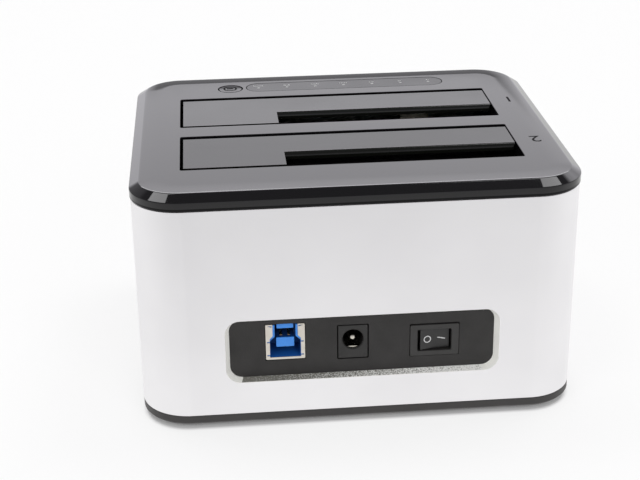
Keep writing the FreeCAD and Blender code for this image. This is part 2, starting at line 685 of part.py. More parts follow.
def make_rear_panel():
    """Dark panel behind the cut-out, with windows for the two sockets and a pocket for the switch."""
    half = CUTOUT_WIDTH / 2 + PANEL_MARGIN
    bottom = SLEEVE_Z + SPIGOT_DEPTH
    top = CUTOUT_Z + CUTOUT_HEIGHT / 2 + PANEL_MARGIN
    plate = box(-half, half, PANEL_Y, PANEL_BACK, bottom, top)
    y0 = PANEL_Y - 1
    y1 = PANEL_BACK + 1
    usb = plug(USB_X, USB_Z, USB_WIDTH + 2 * USB_WINDOW_GAP, USB_HEIGHT + 2 * USB_WINDOW_GAP, y0, y1)
    jack = plug(JACK_X, JACK_Z, JACK_WIDTH + 2 * JACK_WINDOW_GAP, JACK_HEIGHT + 2 * JACK_WINDOW_GAP, y0, y1)
    pocket = plug(
        SWITCH_X, SWITCH_Z, BEZEL_WIDTH + 2 * BEZEL_GAP, BEZEL_HEIGHT + 2 * BEZEL_GAP,
        y0, PANEL_Y + BEZEL_THICKNESS
    )
    fit = 2 * SWITCH_BODY_GAP
    body = plug(SWITCH_X, SWITCH_Z, switch_body_width() + fit, switch_body_height() + fit, y0, y1)
    return cut(plate, [usb, jack, pocket, body])


# Drive bays

def well_far(near_edge):
    """Inner face of a well behind the slot's far edge."""
    return near_edge + SLOT_DEPTH + CAGE_FAR_GAP


def arm_corner():
    """Lower outer corner of the flap's goose-neck, from the hinge axis."""
    return -(HINGE_SETBACK + FLAP_FAR_GAP + ARM_THICKNESS), -BARREL_RADIUS


def make_drive_cage():
    """Moulded cage with a well for each drive, a slotted floor, legs and fixing lugs."""
    reach_y, reach_z = arm_corner()
    far_top = AXIS_Z - math.hypot(reach_y, reach_z) - FLAP_SWEEP_GAP
    pieces = []
    rooms = []
    for near_edge in (SLOT_A, SLOT_B):
        near = near_edge - CAGE_NEAR_GAP
        far = well_far(near_edge)
        pieces.append(box(-CAGE_END, CAGE_END, near - CAGE_WALL, far + CAGE_WALL, CAGE_BOTTOM, COLLAR_Z))
        rooms.append(box(-WELL_END, WELL_END, near, far, SEAT_Z, COLLAR_Z + 1))
        behind = near_edge + SLOT_DEPTH
        rooms.append(box(-CAGE_END - 1, CAGE_END + 1, behind, far + CAGE_WALL + 1, far_top, TOP_Z))
        rooms.extend(floor_openings(near_edge))
    web_y0 = well_far(SLOT_B) + CAGE_WALL
    web_y1 = SLOT_A - CAGE_NEAR_GAP - CAGE_WALL
    outer_web = CAGE_END - WEB_INSET
    for x in (-outer_web, -outer_web / 3, outer_web / 3, outer_web):
        pieces.append(box(x - CAGE_WALL / 2, x + CAGE_WALL / 2, web_y0, web_y1, CAGE_BOTTOM, far_top))
    for side in (-1, 1):
        for y in LUG_PLACES:
            inner = side * CAGE_END
            outer = side * (CAGE_END + LUG_REACH)
            low_x, high_x = sorted((inner, outer))
            pieces.append(
                box(low_x, high_x, y - LUG_WIDTH / 2, y + LUG_WIDTH / 2, LUG_Z - LUG_THICKNESS, LUG_Z)
            )
            gusset = [
                Vector(inner, y - LUG_WIDTH / 2, LUG_Z - LUG_THICKNESS),
                Vector(inner, y - LUG_WIDTH / 2, LUG_Z - LUG_THICKNESS - LUG_REACH),
                Vector(outer, y - LUG_WIDTH / 2, LUG_Z - LUG_THICKNESS),
            ]
            pieces.append(polygon_prism(gusset, BACK * CAGE_WALL))
            under = Vector(side * LUG_X, y, LUG_Z - LUG_THICKNESS - 1)
            rooms.append(prism(under, SCREW_PASS, LUG_THICKNESS + 2))
        for y in LEG_PLACES:
            pieces.append(prism(Vector(side * LEG_X, y, BOARD_TOP), LEG_RADIUS, CAGE_BOTTOM - BOARD_TOP))
            below = Vector(side * LEG_X, y, BOARD_TOP - 1)
            rooms.append(prism(below, SMALL_SCREW_RADIUS, SMALL_SCREW_LENGTH))
    return cut(fuse(pieces), rooms)


def floor_openings(near_edge):
    """Window for the drive socket and air slots in one well's floor."""
    low = CAGE_BOTTOM - 1
    high = SEAT_Z + 1
    half = SOCKET_LENGTH / 2 + SOCKET_ROOM
    socket_y = near_edge + SOCKET_FROM_EDGE
    half_width = SOCKET_WIDTH / 2 + SOCKET_ROOM
    tools = [box(SOCKET_X - half, SOCKET_X + half, socket_y - half_width, socket_y + half_width, low, high)]
    slot_y0 = socket_y + half_width + AIR_SLOT_MARGIN
    slot_y1 = near_edge + SLOT_DEPTH - AIR_SLOT_MARGIN
    pitch = 2 * (WELL_END - AIR_SLOT_INSET) / (AIR_SLOTS - 1)
    for index in range(AIR_SLOTS):
        x = -WELL_END + AIR_SLOT_INSET + index * pitch
        tools.append(box(x - AIR_SLOT_WIDTH / 2, x + AIR_SLOT_WIDTH / 2, slot_y0, slot_y1, low, high))
    return tools


def make_flap(near_edge):
    """L-shaped flap that leaves the small drive's mouth open, with two goose-neck arms and barrels."""
    top = TOP_Z - FLAP_RECESS
    low = top - FLAP_THICKNESS
    left = -SLOT_END + FLAP_END_GAP
    right = SLOT_END - FLAP_END_GAP
    near = near_edge + FLAP_NEAR_GAP
    step = near_edge + SMALL_MOUTH_DEPTH
    far = near_edge + SLOT_DEPTH - FLAP_FAR_GAP
    notch_x = SLOT_END - SMALL_MOUTH_WIDTH
    outline = [
        Vector(left, near, low), Vector(notch_x, near, low), Vector(notch_x, step, low),
        Vector(right, step, low), Vector(right, far, low), Vector(left, far, low),
    ]
    plate = polygon_prism(outline, UP * FLAP_THICKNESS)
    upper = [
        edge for edge in plate.Edges
        if edge.BoundBox.ZMin > top - 0.01 and edge.BoundBox.YMax < far - 0.01
    ]
    plate = plate.makeChamfer(FLAP_BEVEL, upper)
    axis_y = near_edge + AXIS_OFFSET
    back_y = far - ARM_THICKNESS
    web_top = AXIS_Z - BARREL_RADIUS + ARM_THICKNESS
    pieces = [plate]
    holes = []
    for middle in (-ARM_SPACING, ARM_SPACING):
        x = middle - BARREL_LENGTH / 2
        neck = [
            Vector(x, back_y, low + 0.2), Vector(x, back_y, AXIS_Z - BARREL_RADIUS),
            Vector(x, axis_y, AXIS_Z - BARREL_RADIUS), Vector(x, axis_y, web_top),
            Vector(x, far, web_top), Vector(x, far, low + 0.2),
        ]
        pieces.append(polygon_prism(neck, RIGHT * BARREL_LENGTH))
        pieces.append(prism(Vector(x, axis_y, AXIS_Z), BARREL_RADIUS, BARREL_LENGTH, RIGHT))
        holes.append(rod(Vector(x - 1, axis_y, AXIS_Z), PIN_RADIUS + BARREL_FIT, BARREL_LENGTH + 2, RIGHT))
    return cut(fuse(pieces), holes)


def make_flap_pin(near_edge):
    """Steel pin of one flap, through all its ears."""
    reach = ARM_SPACING + BARREL_LENGTH / 2 + EAR_GAP + EAR_THICKNESS + PIN_PROUD
    return rod(Vector(-reach, near_edge + AXIS_OFFSET, AXIS_Z), PIN_RADIUS, 2 * reach, RIGHT)


def make_flap_spring(near_edge):
    """Close-wound torsion spring on the pin, its coil as a plain tube, with a leg each way on top."""
    y = near_edge + AXIS_OFFSET
    half = SPRING_WIRE * SPRING_TURNS / 2
    bottom = AXIS_Z + SPRING_COIL - SPRING_WIRE / 2
    top = bottom + SPRING_WIRE
    outer = prism(Vector(-half, y, AXIS_Z), SPRING_COIL + SPRING_WIRE / 2, 2 * half, RIGHT)
    bore = prism(Vector(-half - 1, y, AXIS_Z), SPRING_COIL - SPRING_WIRE / 2, 2 * half + 2, RIGHT)
    flap_leg = box(-half, SPRING_WIRE - half, y - SPRING_LEG, y, bottom, top)
    cover_leg = box(half - SPRING_WIRE, half, y, y + SPRING_LEG, bottom, top)
    return cut(fuse([outer, flap_leg, cover_leg]), [bore])


def make_sata_socket(near_edge):
    """Upright drive socket: body, two noses with tongue slots, and a guide at each end."""
    y = near_edge + SOCKET_FROM_EDGE
    half = SOCKET_LENGTH / 2
    body = blade_block(SOCKET_X, y, SOCKET_LENGTH, SOCKET_WIDTH, BOARD_TOP, SEAT_Z)
    pieces = [body]
    holes = []
    for x0, x1 in nose_spans():
        nose = box(x0, x1, y - NOSE_WIDTH / 2, y + NOSE_WIDTH / 2, SEAT_Z, SEAT_Z + NOSE_HEIGHT)
        rim = [edge for edge in nose.Edges if edge.BoundBox.ZMin > SEAT_Z + NOSE_HEIGHT - 0.01]
        pieces.append(nose.makeChamfer(NOSE_BEVEL, rim))
        slot_y = y + TONGUE_SLOT / 2
        key = x0 + NOSE_WALL
        floor = SEAT_Z - NOSE_SLOT_DEPTH
        holes.append(box(key, x1 - NOSE_WALL, slot_y - TONGUE_SLOT, slot_y, floor, TOP_Z))
        holes.append(box(key, key + TONGUE_SLOT, slot_y, slot_y + NOSE_WALL, floor, TOP_Z))
    for side in (-1, 1):
        outer = SOCKET_X + side * half
        low_x, high_x = sorted((outer, outer - side * GUIDE_WIDTH))
        guide = box(low_x, high_x, y - NOSE_WIDTH / 2, y + NOSE_WIDTH / 2, SEAT_Z, SEAT_Z + GUIDE_HEIGHT)
        rim = [edge for edge in guide.Edges if edge.BoundBox.ZMin > SEAT_Z + GUIDE_HEIGHT - 0.01]
        pieces.append(guide.makeChamfer(GUIDE_BEVEL, rim))
    return cut(fuse(pieces), holes)


def nose_spans():
    """Left and right end of the data nose and of the power nose."""
    total = NOSE_DATA + NOSE_GAP + NOSE_POWER
    left = SOCKET_X - total / 2
    return ((left, left + NOSE_DATA), (left + NOSE_DATA + NOSE_GAP, left + total))


def make_sata_contacts(near_edge):
    """Contact strips along one side of both tongue slots."""
    y = near_edge + SOCKET_FROM_EDGE - TONGUE_SLOT / 2
    strips = []
    for (x0, x1), count in zip(nose_spans(), (DATA_CONTACTS, POWER_CONTACTS)):
        middle = (x0 + x1) / 2 + NOSE_WALL / 4
        for index in range(count):
            x = middle + (index - (count - 1) / 2) * CONTACT_PITCH
            strips.append(box(
                x - CONTACT_WIDTH / 2, x + CONTACT_WIDTH / 2, y, y + CONTACT_THICKNESS,
                SEAT_Z - NOSE_SLOT_DEPTH, SEAT_Z + NOSE_HEIGHT - NOSE_WALL
            ))
    return Part.makeCompound(strips)


def make_cage_screws():
    """Screws from under the cage's lugs into the cover's bosses."""
    head_z = LUG_Z - LUG_THICKNESS
    return Part.makeCompound([
        screw(side * LUG_X, y, head_z, SMALL_SCREW_RADIUS - THREAD_FIT, SMALL_SCREW_HEAD_RADIUS,
              SMALL_SCREW_HEAD_HEIGHT, LUG_THICKNESS + SMALL_SCREW_LENGTH - 0.5)
        for side in (-1, 1) for y in LUG_PLACES
    ])


# Main board

def board_edges():
    """Half width, rear edge and front edge of the main board."""
    half = CASE_WIDTH / 2 - SLEEVE_WALL - BOARD_SIDE_GAP
    rear = PANEL_BACK + BOARD_REAR_GAP
    front = CASE_DEPTH / 2 - SLEEVE_WALL - BOARD_FRONT_GAP
    return half, rear, front


def support_places():
    """Base posts under the board, clear of the screws."""
    return [(x, y) for x in SUPPORT_X for y in SUPPORT_Y]


def make_main_board():
    """Main circuit board, notched round the switch and drilled for the cage's legs."""
    half, rear, front = board_edges()
    middle = (rear + front) / 2
    board = blade_block(0, middle, 2 * half, front - rear, BOARD_Z, BOARD_TOP)
    notch_half = switch_body_width() / 2 + NOTCH_ROOM
    notch_end = PANEL_Y + SWITCH_LENGTH + NOTCH_ROOM
    left = SWITCH_X - notch_half
    tools = [box(left, left + 2 * notch_half, rear - 1, notch_end, BOARD_Z - 1, BOARD_TOP + 1)]
    for side in (-1, 1):
        for y in LEG_PLACES:
            tools.append(prism(Vector(side * LEG_X, y, BOARD_Z - 1), SCREW_PASS, BOARD_THICKNESS + 2))
    tools.extend(terminal_holes())
    return cut(board, tools)


def make_board_screws():
    """Screws from under the board into the cage's legs."""
    return Part.makeCompound([
        screw(side * LEG_X, y, BOARD_Z, SMALL_SCREW_RADIUS - THREAD_FIT, SMALL_SCREW_HEAD_RADIUS,
              SMALL_SCREW_HEAD_HEIGHT, BOARD_THICKNESS + SMALL_SCREW_LENGTH - 2.0)
        for side in (-1, 1) for y in LEG_PLACES
    ])


def make_chip(place, size, legs, pitch):
    """Flat chip package with a row of legs on two sides."""
    x, y = place
    width, depth, height = size
    low = BOARD_TOP + CHIP_STANDOFF
    high = BOARD_TOP + height
    body = box(x - width / 2, x + width / 2, y - depth / 2, y + depth / 2, low, high)
    upper = [edge for edge in body.Edges if edge.BoundBox.ZMin > high - 0.01]
    pieces = [body.makeChamfer(CHIP_BEVEL, upper)]
    for side in (-1, 1):
        for index in range(legs):
            leg_x = x + (index - (legs - 1) / 2) * pitch
            inner = y + side * (depth / 2 - CHIP_LEG_THICKNESS)
            y0, y1 = sorted((inner, y + side * (depth / 2 + CHIP_LEG_REACH)))
            leg_top = BOARD_TOP + CHIP_LEG_THICKNESS
            pieces.append(box(leg_x - pitch / 4, leg_x + pitch / 4, y0, y1, BOARD_TOP, leg_top))
    return pieces[0].fuse(pieces[1:])


def make_bridge_chip():
    """Controller chip that joins the two drive channels to the USB port."""
    return make_chip(BRIDGE_CHIP_PLACE, BRIDGE_CHIP_SIZE, BRIDGE_CHIP_LEGS, BRIDGE_CHIP_PITCH)


def make_small_chips():
    """Firmware memory and the power regulators."""
    return Part.makeCompound([
        make_chip(place, SMALL_CHIP_SIZE, SMALL_CHIP_LEGS, SMALL_CHIP_PITCH) for place in SMALL_CHIP_PLACES
    ])


def front_places(places):
    """Places given across and in from the board's front edge."""
    _, _, front = board_edges()
    return [(across, front - inward) for across, inward in places]


def make_capacitors():
    """Electrolytic capacitors on their square seats."""
    cans = []
    for x, y in front_places(CAPACITOR_PLACES):
        side = 2 * CAPACITOR_RADIUS + CAPACITOR_SEAT_MARGIN
        seat_top = BOARD_TOP + CAPACITOR_SEAT
        seat = blade_block(x, y, side, side, BOARD_TOP, seat_top)
        can = prism(
            Vector(x, y, seat_top), CAPACITOR_RADIUS, CAPACITOR_HEIGHT - CAPACITOR_SEAT, sides=CAPACITOR_SIDES
        )
        cans.append(seat.fuse(can))
    return Part.makeCompound(cans)


def make_inductors():
    """Shielded power inductors."""
    coils = []
    for x, y in front_places(INDUCTOR_PLACES):
        coils.append(blade_block(x, y, INDUCTOR_SIZE, INDUCTOR_SIZE, BOARD_TOP, BOARD_TOP + INDUCTOR_HEIGHT))
    return Part.makeCompound(coils)


def make_crystal():
    """Low metal can of the clock crystal."""
    x, y = CRYSTAL_PLACE
    can = blade_block(x, y, CRYSTAL_LENGTH, CRYSTAL_WIDTH, BOARD_TOP, BOARD_TOP + CRYSTAL_HEIGHT)
    upright = [edge for edge in can.Edges if edge.BoundBox.ZLength > CRYSTAL_HEIGHT / 2]
    return can.makeChamfer(CRYSTAL_CORNER, upright)


# Ports

def usb_mouth(y0, y1, grow):
    """Stepped mouth of a USB 3.0 type B socket, open to the top of the shell."""
    floor = USB_Z - USB_HEIGHT / 2
    lower = USB_LOWER_WIDTH / 2 + grow
    upper = USB_UPPER_WIDTH / 2 + grow
    shoulder = floor + USB_SHOULDER + grow
    points = [
        (-lower, floor + USB_LOWER_FLOOR - grow), (lower, floor + USB_LOWER_FLOOR - grow),
        (lower, shoulder), (upper, shoulder + USB_SHOULDER_RISE),
        (upper, floor + USB_HEIGHT + 1), (-upper, floor + USB_HEIGHT + 1),
        (-upper, shoulder + USB_SHOULDER_RISE), (-lower, shoulder),
    ]
    outline = [Vector(USB_X + x, y0, z) for x, z in points]
    return polygon_prism(outline, BACK * (y1 - y0))


def make_usb_shell():
    """Folded steel shell of the USB socket with its front wings and board tabs."""
    y0 = PANEL_Y
    y1 = PANEL_Y + USB_LENGTH
    shell = plug(USB_X, USB_Z, USB_WIDTH, USB_HEIGHT, y0, y1)
    inner = 2 * USB_SHEET
    room = plug(USB_X, USB_Z, USB_WIDTH - inner, USB_HEIGHT - inner, y0 + USB_SHEET, y1 + 1)
    mouth = usb_mouth(y0 - 1, y0 + 2 * USB_SHEET, USB_REVEAL)
    pieces = [cut(shell, [room, mouth])]
    for side in (-1, 1):
        x0, x1 = sorted((USB_X + side * USB_WIDTH / 2, USB_X + side * (USB_WIDTH / 2 - USB_SHEET)))
        tab_y = PANEL_Y + USB_TAB_FROM_FACE
        half_tab = USB_TAB_WIDTH / 2
        pieces.append(box(x0, x1, tab_y - half_tab, tab_y + half_tab, BOARD_Z - 1, USB_Z))
    return fuse(pieces)


def make_usb_insulator():
    """Blue moulding inside the USB shell, with its stepped mouth, tongue and upper bar."""
    floor = USB_Z - USB_HEIGHT / 2
    inner = 2 * USB_SHEET
    front = PANEL_Y + USB_SHEET
    tip = front + USB_TONGUE_SETBACK
    block = plug(USB_X, USB_Z, USB_WIDTH - inner, USB_HEIGHT - inner, front, PANEL_Y + USB_LENGTH - 1)
    body = block.cut(usb_mouth(front - 1, front + USB_MOUTH_DEPTH, 0.0))
    pieces = [body]
    for width, height, rise in (USB_TONGUE, USB_BAR):
        z0 = floor + rise
        tongue = box(
            USB_X - width / 2, USB_X + width / 2, tip, front + USB_MOUTH_DEPTH + 0.5,
            z0, min(z0 + height, floor + USB_HEIGHT - USB_SHEET)
        )
        rim = [edge for edge in tongue.Edges if edge.BoundBox.YMax < tip + 0.01]
        pieces.append(tongue.makeChamfer(USB_TONGUE_BEVEL, rim))
    return fuse(pieces)


def make_usb_contacts():
    """Gilt contact strips on the tongue and under the upper bar."""
    floor = USB_Z - USB_HEIGHT / 2
    sheet = USB_CONTACT_THICKNESS
    y0 = PANEL_Y + USB_CONTACT_SETBACK
    y1 = PANEL_Y + USB_MOUTH_DEPTH
    tongue_low = floor + USB_TONGUE[2]
    tongue_top = tongue_low + USB_TONGUE[1]
    bar_low = floor + USB_BAR[2]
    rows = (
        (USB_LOWER_COUNT, USB_LOWER_PITCH, USB_LOWER_STRIP, tongue_low - sheet),
        (USB_LOWER_COUNT, USB_LOWER_PITCH, USB_LOWER_STRIP, tongue_top),
        (USB_UPPER_COUNT, USB_UPPER_PITCH, USB_UPPER_STRIP, bar_low - sheet),
    )
    strips = []
    for count, pitch, width, z in rows:
        for index in range(count):
            x = USB_X + (index - (count - 1) / 2) * pitch
            strips.append(box(x - width / 2, x + width / 2, y0, y1, z, z + sheet))
    return Part.makeCompound(strips)


def make_jack_body():
    """Moulded DC inlet: square face, narrower body and round bore."""
    flange = plug(JACK_X, JACK_Z, JACK_WIDTH, JACK_HEIGHT, PANEL_Y, PANEL_Y + JACK_FLANGE)
    inset = JACK_BODY_INSET
    body = box(
        JACK_X - JACK_WIDTH / 2 + inset, JACK_X + JACK_WIDTH / 2 - inset, PANEL_Y + JACK_FLANGE - 0.1,
        PANEL_Y + JACK_LENGTH, BOARD_TOP, JACK_Z + JACK_HEIGHT / 2 - inset
    )
    bore = rod(Vector(JACK_X, PANEL_Y - 1, jack_bore_z()), JACK_BORE, JACK_BORE_DEPTH + 1, BACK)
    mouth = Vector(JACK_X, PANEL_Y, jack_bore_z())
    lead_in = Part.makeCone(JACK_BORE + JACK_LEAD_IN, JACK_BORE, JACK_LEAD_IN, mouth, BACK)
    return cut(flange.fuse(body), [bore, lead_in])


def jack_bore_z():
    """Height of the DC inlet's bore."""
    return JACK_Z + JACK_BORE_RISE


def make_jack_pin():
    """Centre pin of the DC inlet."""
    tip_y = PANEL_Y + JACK_PIN_SETBACK
    end_y = PANEL_Y + JACK_BORE_DEPTH
    return rod(Vector(JACK_X, tip_y, jack_bore_z()), JACK_PIN_RADIUS, end_y - tip_y, BACK)


def make_jack_terminals():
    """Spring leaf in the bore's floor and the three blades through the board."""
    z = jack_bore_z() - JACK_BORE
    left = JACK_X - LEAF_WIDTH / 2
    front = PANEL_Y + LEAF_SETBACK
    bow = PANEL_Y + (LEAF_SETBACK + JACK_BORE_DEPTH) / 2
    end = PANEL_Y + JACK_BORE_DEPTH
    rise = z + LEAF_CLEARANCE
    leaf = [
        Vector(left, front, rise), Vector(left, bow, rise + LEAF_BOW), Vector(left, end, rise),
        Vector(left, end, rise + LEAF_THICKNESS), Vector(left, bow, rise + LEAF_BOW + LEAF_THICKNESS),
        Vector(left, front, rise + LEAF_THICKNESS),
    ]
    solids = [polygon_prism(leaf, RIGHT * LEAF_WIDTH)]
    for x, y in jack_blades():
        solids.append(blade_block(x, y, BLADE_WIDTH, BLADE_THICKNESS, BOARD_Z - BLADE_REACH, BOARD_TOP))
    return Part.makeCompound(solids)


def jack_blades():
    """Places of the DC inlet's blades."""
    return [(JACK_X + across, PANEL_Y + behind) for across, behind in JACK_BLADES]


def blade_block(x, y, width, thickness, z0, z1):
    """Upright block round the middle of a blade or tab."""
    return box(x - width / 2, x + width / 2, y - thickness / 2, y + thickness / 2, z0, z1)


def switch_body_width():
    """Width of the switch's body behind its bezel."""
    return SWITCH_OPENING_WIDTH + 2 * SWITCH_WALL


def switch_body_height():
    """Height of the switch's body behind its bezel."""
    return SWITCH_OPENING_HEIGHT + 2 * SWITCH_WALL


def make_switch_housing():
    """Switch body with its flat bezel, the opening for the rocker and the trunnion holes."""
    back = PANEL_Y + BEZEL_THICKNESS
    bezel = plug(SWITCH_X, SWITCH_Z, BEZEL_WIDTH, BEZEL_HEIGHT, PANEL_Y, back)
    front = [edge for edge in bezel.Edges if edge.BoundBox.YMax < PANEL_Y + 0.01]
    bezel = bezel.makeChamfer(BEZEL_BEVEL, front)
    body = box(
        SWITCH_X - switch_body_width() / 2, SWITCH_X + switch_body_width() / 2, back, PANEL_Y + SWITCH_LENGTH,
        SWITCH_Z - switch_body_height() / 2, SWITCH_Z + switch_body_height() / 2
    )
    opening = box(
        SWITCH_X - SWITCH_OPENING_WIDTH / 2, SWITCH_X + SWITCH_OPENING_WIDTH / 2,
        PANEL_Y - 1, PANEL_Y + SWITCH_FLOOR,
        SWITCH_Z - SWITCH_OPENING_HEIGHT / 2, SWITCH_Z + SWITCH_OPENING_HEIGHT / 2
    )
    trunnion = rod(
        Vector(SWITCH_X, PANEL_Y + PIVOT_BACK, SWITCH_Z - switch_body_height() / 2 - 1),
        TRUNNION_RADIUS + TRUNNION_FIT, switch_body_height() + 2
    )
    return cut(bezel.fuse(body), [opening, trunnion])


def make_switch_rocker():
    """Rocker with its dished face, tapered back and two trunnions, pressed in on the right."""
    half = ROCKER_WIDTH / 2
    face = -ROCKER_PIVOT_DEPTH
    dish = half * math.tan(math.radians(ROCKER_DISH))
    height = SWITCH_OPENING_HEIGHT - 2 * ROCKER_SIDE_GAP
    low = SWITCH_Z - height / 2
    points = [
        (-half, face), (0, face + dish), (half, face), (half, face + ROCKER_SHOULDER),
        (half * 0.6, ROCKER_DEPTH - ROCKER_BELLY), (half * 0.3, ROCKER_DEPTH),
        (-half * 0.3, ROCKER_DEPTH), (-half * 0.6, ROCKER_DEPTH - ROCKER_BELLY),
        (-half, face + ROCKER_SHOULDER),
    ]
    body = polygon_prism([Vector(x, y, low) for x, y in points], UP * height)
    length = switch_body_height() - 0.4
    trunnions = rod(Vector(0, 0, SWITCH_Z - length / 2), TRUNNION_RADIUS, length)
    rocker = body.fuse(trunnions)
    rocker.rotate(ORIGIN, UP, ROCKER_TILT)
    rocker.translate(Vector(SWITCH_X, PANEL_Y + PIVOT_BACK, 0))
    return rocker


def terminal_places():
    """The switch's two terminals, left and right of its middle."""
    return (SWITCH_X - TERMINAL_SPACING / 2, SWITCH_X + TERMINAL_SPACING / 2)


def terminal_down_y():
    """Where the terminals turn down into the board."""
    return PANEL_Y + SWITCH_LENGTH + TERMINAL_RUN


def terminal_holes():
    """Holes in the board for the blades of the switch, the DC inlet and the USB shell's tabs."""
    low = BOARD_Z - 1
    high = BOARD_TOP + 1
    fit = 2 * BLADE_FIT
    terminal_y = terminal_down_y() + TERMINAL_THICKNESS / 2
    holes = [
        blade_block(x, terminal_y, TERMINAL_WIDTH + fit, TERMINAL_THICKNESS + fit, low, high)
        for x in terminal_places()
    ]
    for x, y in jack_blades():
        holes.append(blade_block(x, y, BLADE_WIDTH + fit, BLADE_THICKNESS + fit, low, high))
    for side in (-1, 1):
        x = USB_X + side * (USB_WIDTH - USB_SHEET) / 2
        tab_y = PANEL_Y + USB_TAB_FROM_FACE
        holes.append(blade_block(x, tab_y, USB_SHEET + fit, USB_TAB_WIDTH + fit, low, high))
    return holes


def make_switch_terminals():
    """Blades from the back of the switch, bent down through the board."""
    blades = []
    y0 = PANEL_Y + SWITCH_LENGTH
    y1 = terminal_down_y() + TERMINAL_THICKNESS
    for x in terminal_places():
        half = TERMINAL_WIDTH / 2
        out = box(x - half, x + half, y0, y1, SWITCH_Z, SWITCH_Z + TERMINAL_THICKNESS)
        down = box(x - half, x + half, terminal_down_y(), y1, BOARD_Z - 1.2, SWITCH_Z)
        blades.append(fuse([out, down]))
    return Part.makeCompound(blades)


# Indicators and button

def small_board_posts():
    """Cover posts that carry the indicator board."""
    y = SMALL_BOARD_Y + SMALL_BOARD_DEPTH - SMALL_POST_RADIUS - 0.2
    return [(-SMALL_POST_X, y), (SMALL_POST_X, y)]


def led_places():
    """Middles of the lights along the row."""
    return [LED_FIRST_X + index * LED_PITCH for index in range(LED_COUNT)]


def make_led_window():
    """Stadium-shaped smoked window let into the cover over the lights."""
    return window_slab(-WINDOW_GAP, TOP_Z - WINDOW_THICKNESS, TOP_Z)


def make_light_guide():
    """Clear bar under the window with a post down to each light."""
    top = TOP_Z - WINDOW_THICKNESS
    low = top - GUIDE_BAR_THICKNESS
    width = GUIDE_BAR_DEPTH
    length = LED_PITCH * (LED_COUNT - 1) + width
    pieces = [blade_block(LED_MIDDLE, LED_Y, length, width, low, top)]
    foot = SMALL_BOARD_TOP + LED_SIZE[2] + GUIDE_POST_GAP
    for x in led_places():
        pieces.append(blade_block(x, LED_Y, GUIDE_POST_SIDE, GUIDE_POST_SIDE, foot, low))
    return fuse(pieces)


def make_indicator_board():
    """Small board under the cover for the lights and the button's switch."""
    middle = SMALL_BOARD_Y + SMALL_BOARD_DEPTH / 2
    board = blade_block(0, middle, 2 * SMALL_BOARD_HALF, SMALL_BOARD_DEPTH, SMALL_BOARD_Z, SMALL_BOARD_TOP)
    return cut(board, [
        prism(Vector(x, y, SMALL_BOARD_Z - 1), SCREW_PASS, SMALL_BOARD_THICKNESS + 2)
        for x, y in small_board_posts()
    ])


def make_indicator_leds():
    """Row of small surface-mounted lights."""
    length, width, height = LED_SIZE
    return Part.makeCompound([
        box(x - length / 2, x + length / 2, LED_Y - width / 2, LED_Y + width / 2,
            SMALL_BOARD_TOP, SMALL_BOARD_TOP + height)
        for x in led_places()
    ])


def make_indicator_screws():
    """Screws that hold the indicator board to the cover's posts."""
    return Part.makeCompound([
        screw(x, y, SMALL_BOARD_Z, SMALL_SCREW_RADIUS - THREAD_FIT, SMALL_SCREW_HEAD_RADIUS,
              SMALL_SCREW_HEAD_HEIGHT, SMALL_BOARD_THICKNESS + SMALL_SCREW_LENGTH - 2.0)
        for x, y in small_board_posts()
    ])


def stem_top():
    """Height of the top of the button switch's stem."""
    return SMALL_BOARD_TOP + TACT_HEIGHT + TACT_STEM_RISE


def make_clone_button():
    """Round button cap, flush with the cover, with a flange that keeps it in."""
    radius = BUTTON_HOLE - BUTTON_GAP
    low = stem_top()
    cap = rod(Vector(BUTTON_X, LED_Y, low), radius, TOP_Z - low)
    rim = [edge for edge in cap.Edges if edge.BoundBox.ZMin > TOP_Z - 0.01]
    flange = prism(
        Vector(BUTTON_X, LED_Y, low), BUTTON_HOLE + BUTTON_FLANGE, PLATE_Z - low - BUTTON_FLANGE_GAP
    )
    return cap.makeChamfer(BUTTON_BEVEL, rim).fuse(flange)


def make_button_plunger():
    """Stem of the button's switch, which carries the cap."""
    low = SMALL_BOARD_TOP + BUTTON_TRAVEL + 0.5
    return prism(Vector(BUTTON_X, LED_Y, low), TACT_STEM, stem_top() - low)


def make_button_switch():
    """Body of the push switch under the button, with its four legs."""
    half = TACT_SIZE / 2
    body = blade_block(
        BUTTON_X, LED_Y, TACT_SIZE, TACT_SIZE, SMALL_BOARD_TOP, SMALL_BOARD_TOP + TACT_HEIGHT
    )
    bore = prism(Vector(BUTTON_X, LED_Y, SMALL_BOARD_TOP + TACT_FLOOR), TACT_STEM + TACT_FIT, TACT_HEIGHT)
    length, width, thickness = TACT_LEG
    legs = [
        blade_block(
            BUTTON_X + side * (half + length / 3), LED_Y + step * half * 0.65, length, width,
            SMALL_BOARD_TOP, SMALL_BOARD_TOP + thickness
        )
        for side in (-1, 1) for step in (-1, 1)
    ]
    return cut(body.fuse(legs), [bore])


def make_plug(x, z0):
    """Cable plug in its header: stepped block with a latch."""
    length, width, height = PLUG_SIZE
    body = blade_block(x, PLUG_Y, length, width, z0, z0 + height)
    latch_y = PLUG_Y - (width + LATCH_THICKNESS) / 2
    latch = blade_block(
        x, latch_y, LATCH_WIDTH, LATCH_THICKNESS, z0 + LATCH_THICKNESS, z0 + height - LATCH_THICKNESS
    )
    return body.fuse(latch)


def make_indicator_plug():
    """Plug and header under the indicator board."""
    return make_plug(PLUG_UPPER_X, SMALL_BOARD_Z - PLUG_SIZE[2])


def make_board_header():
    """Plug and header on the main board."""
    return make_plug(PLUG_LOWER_X, BOARD_TOP)


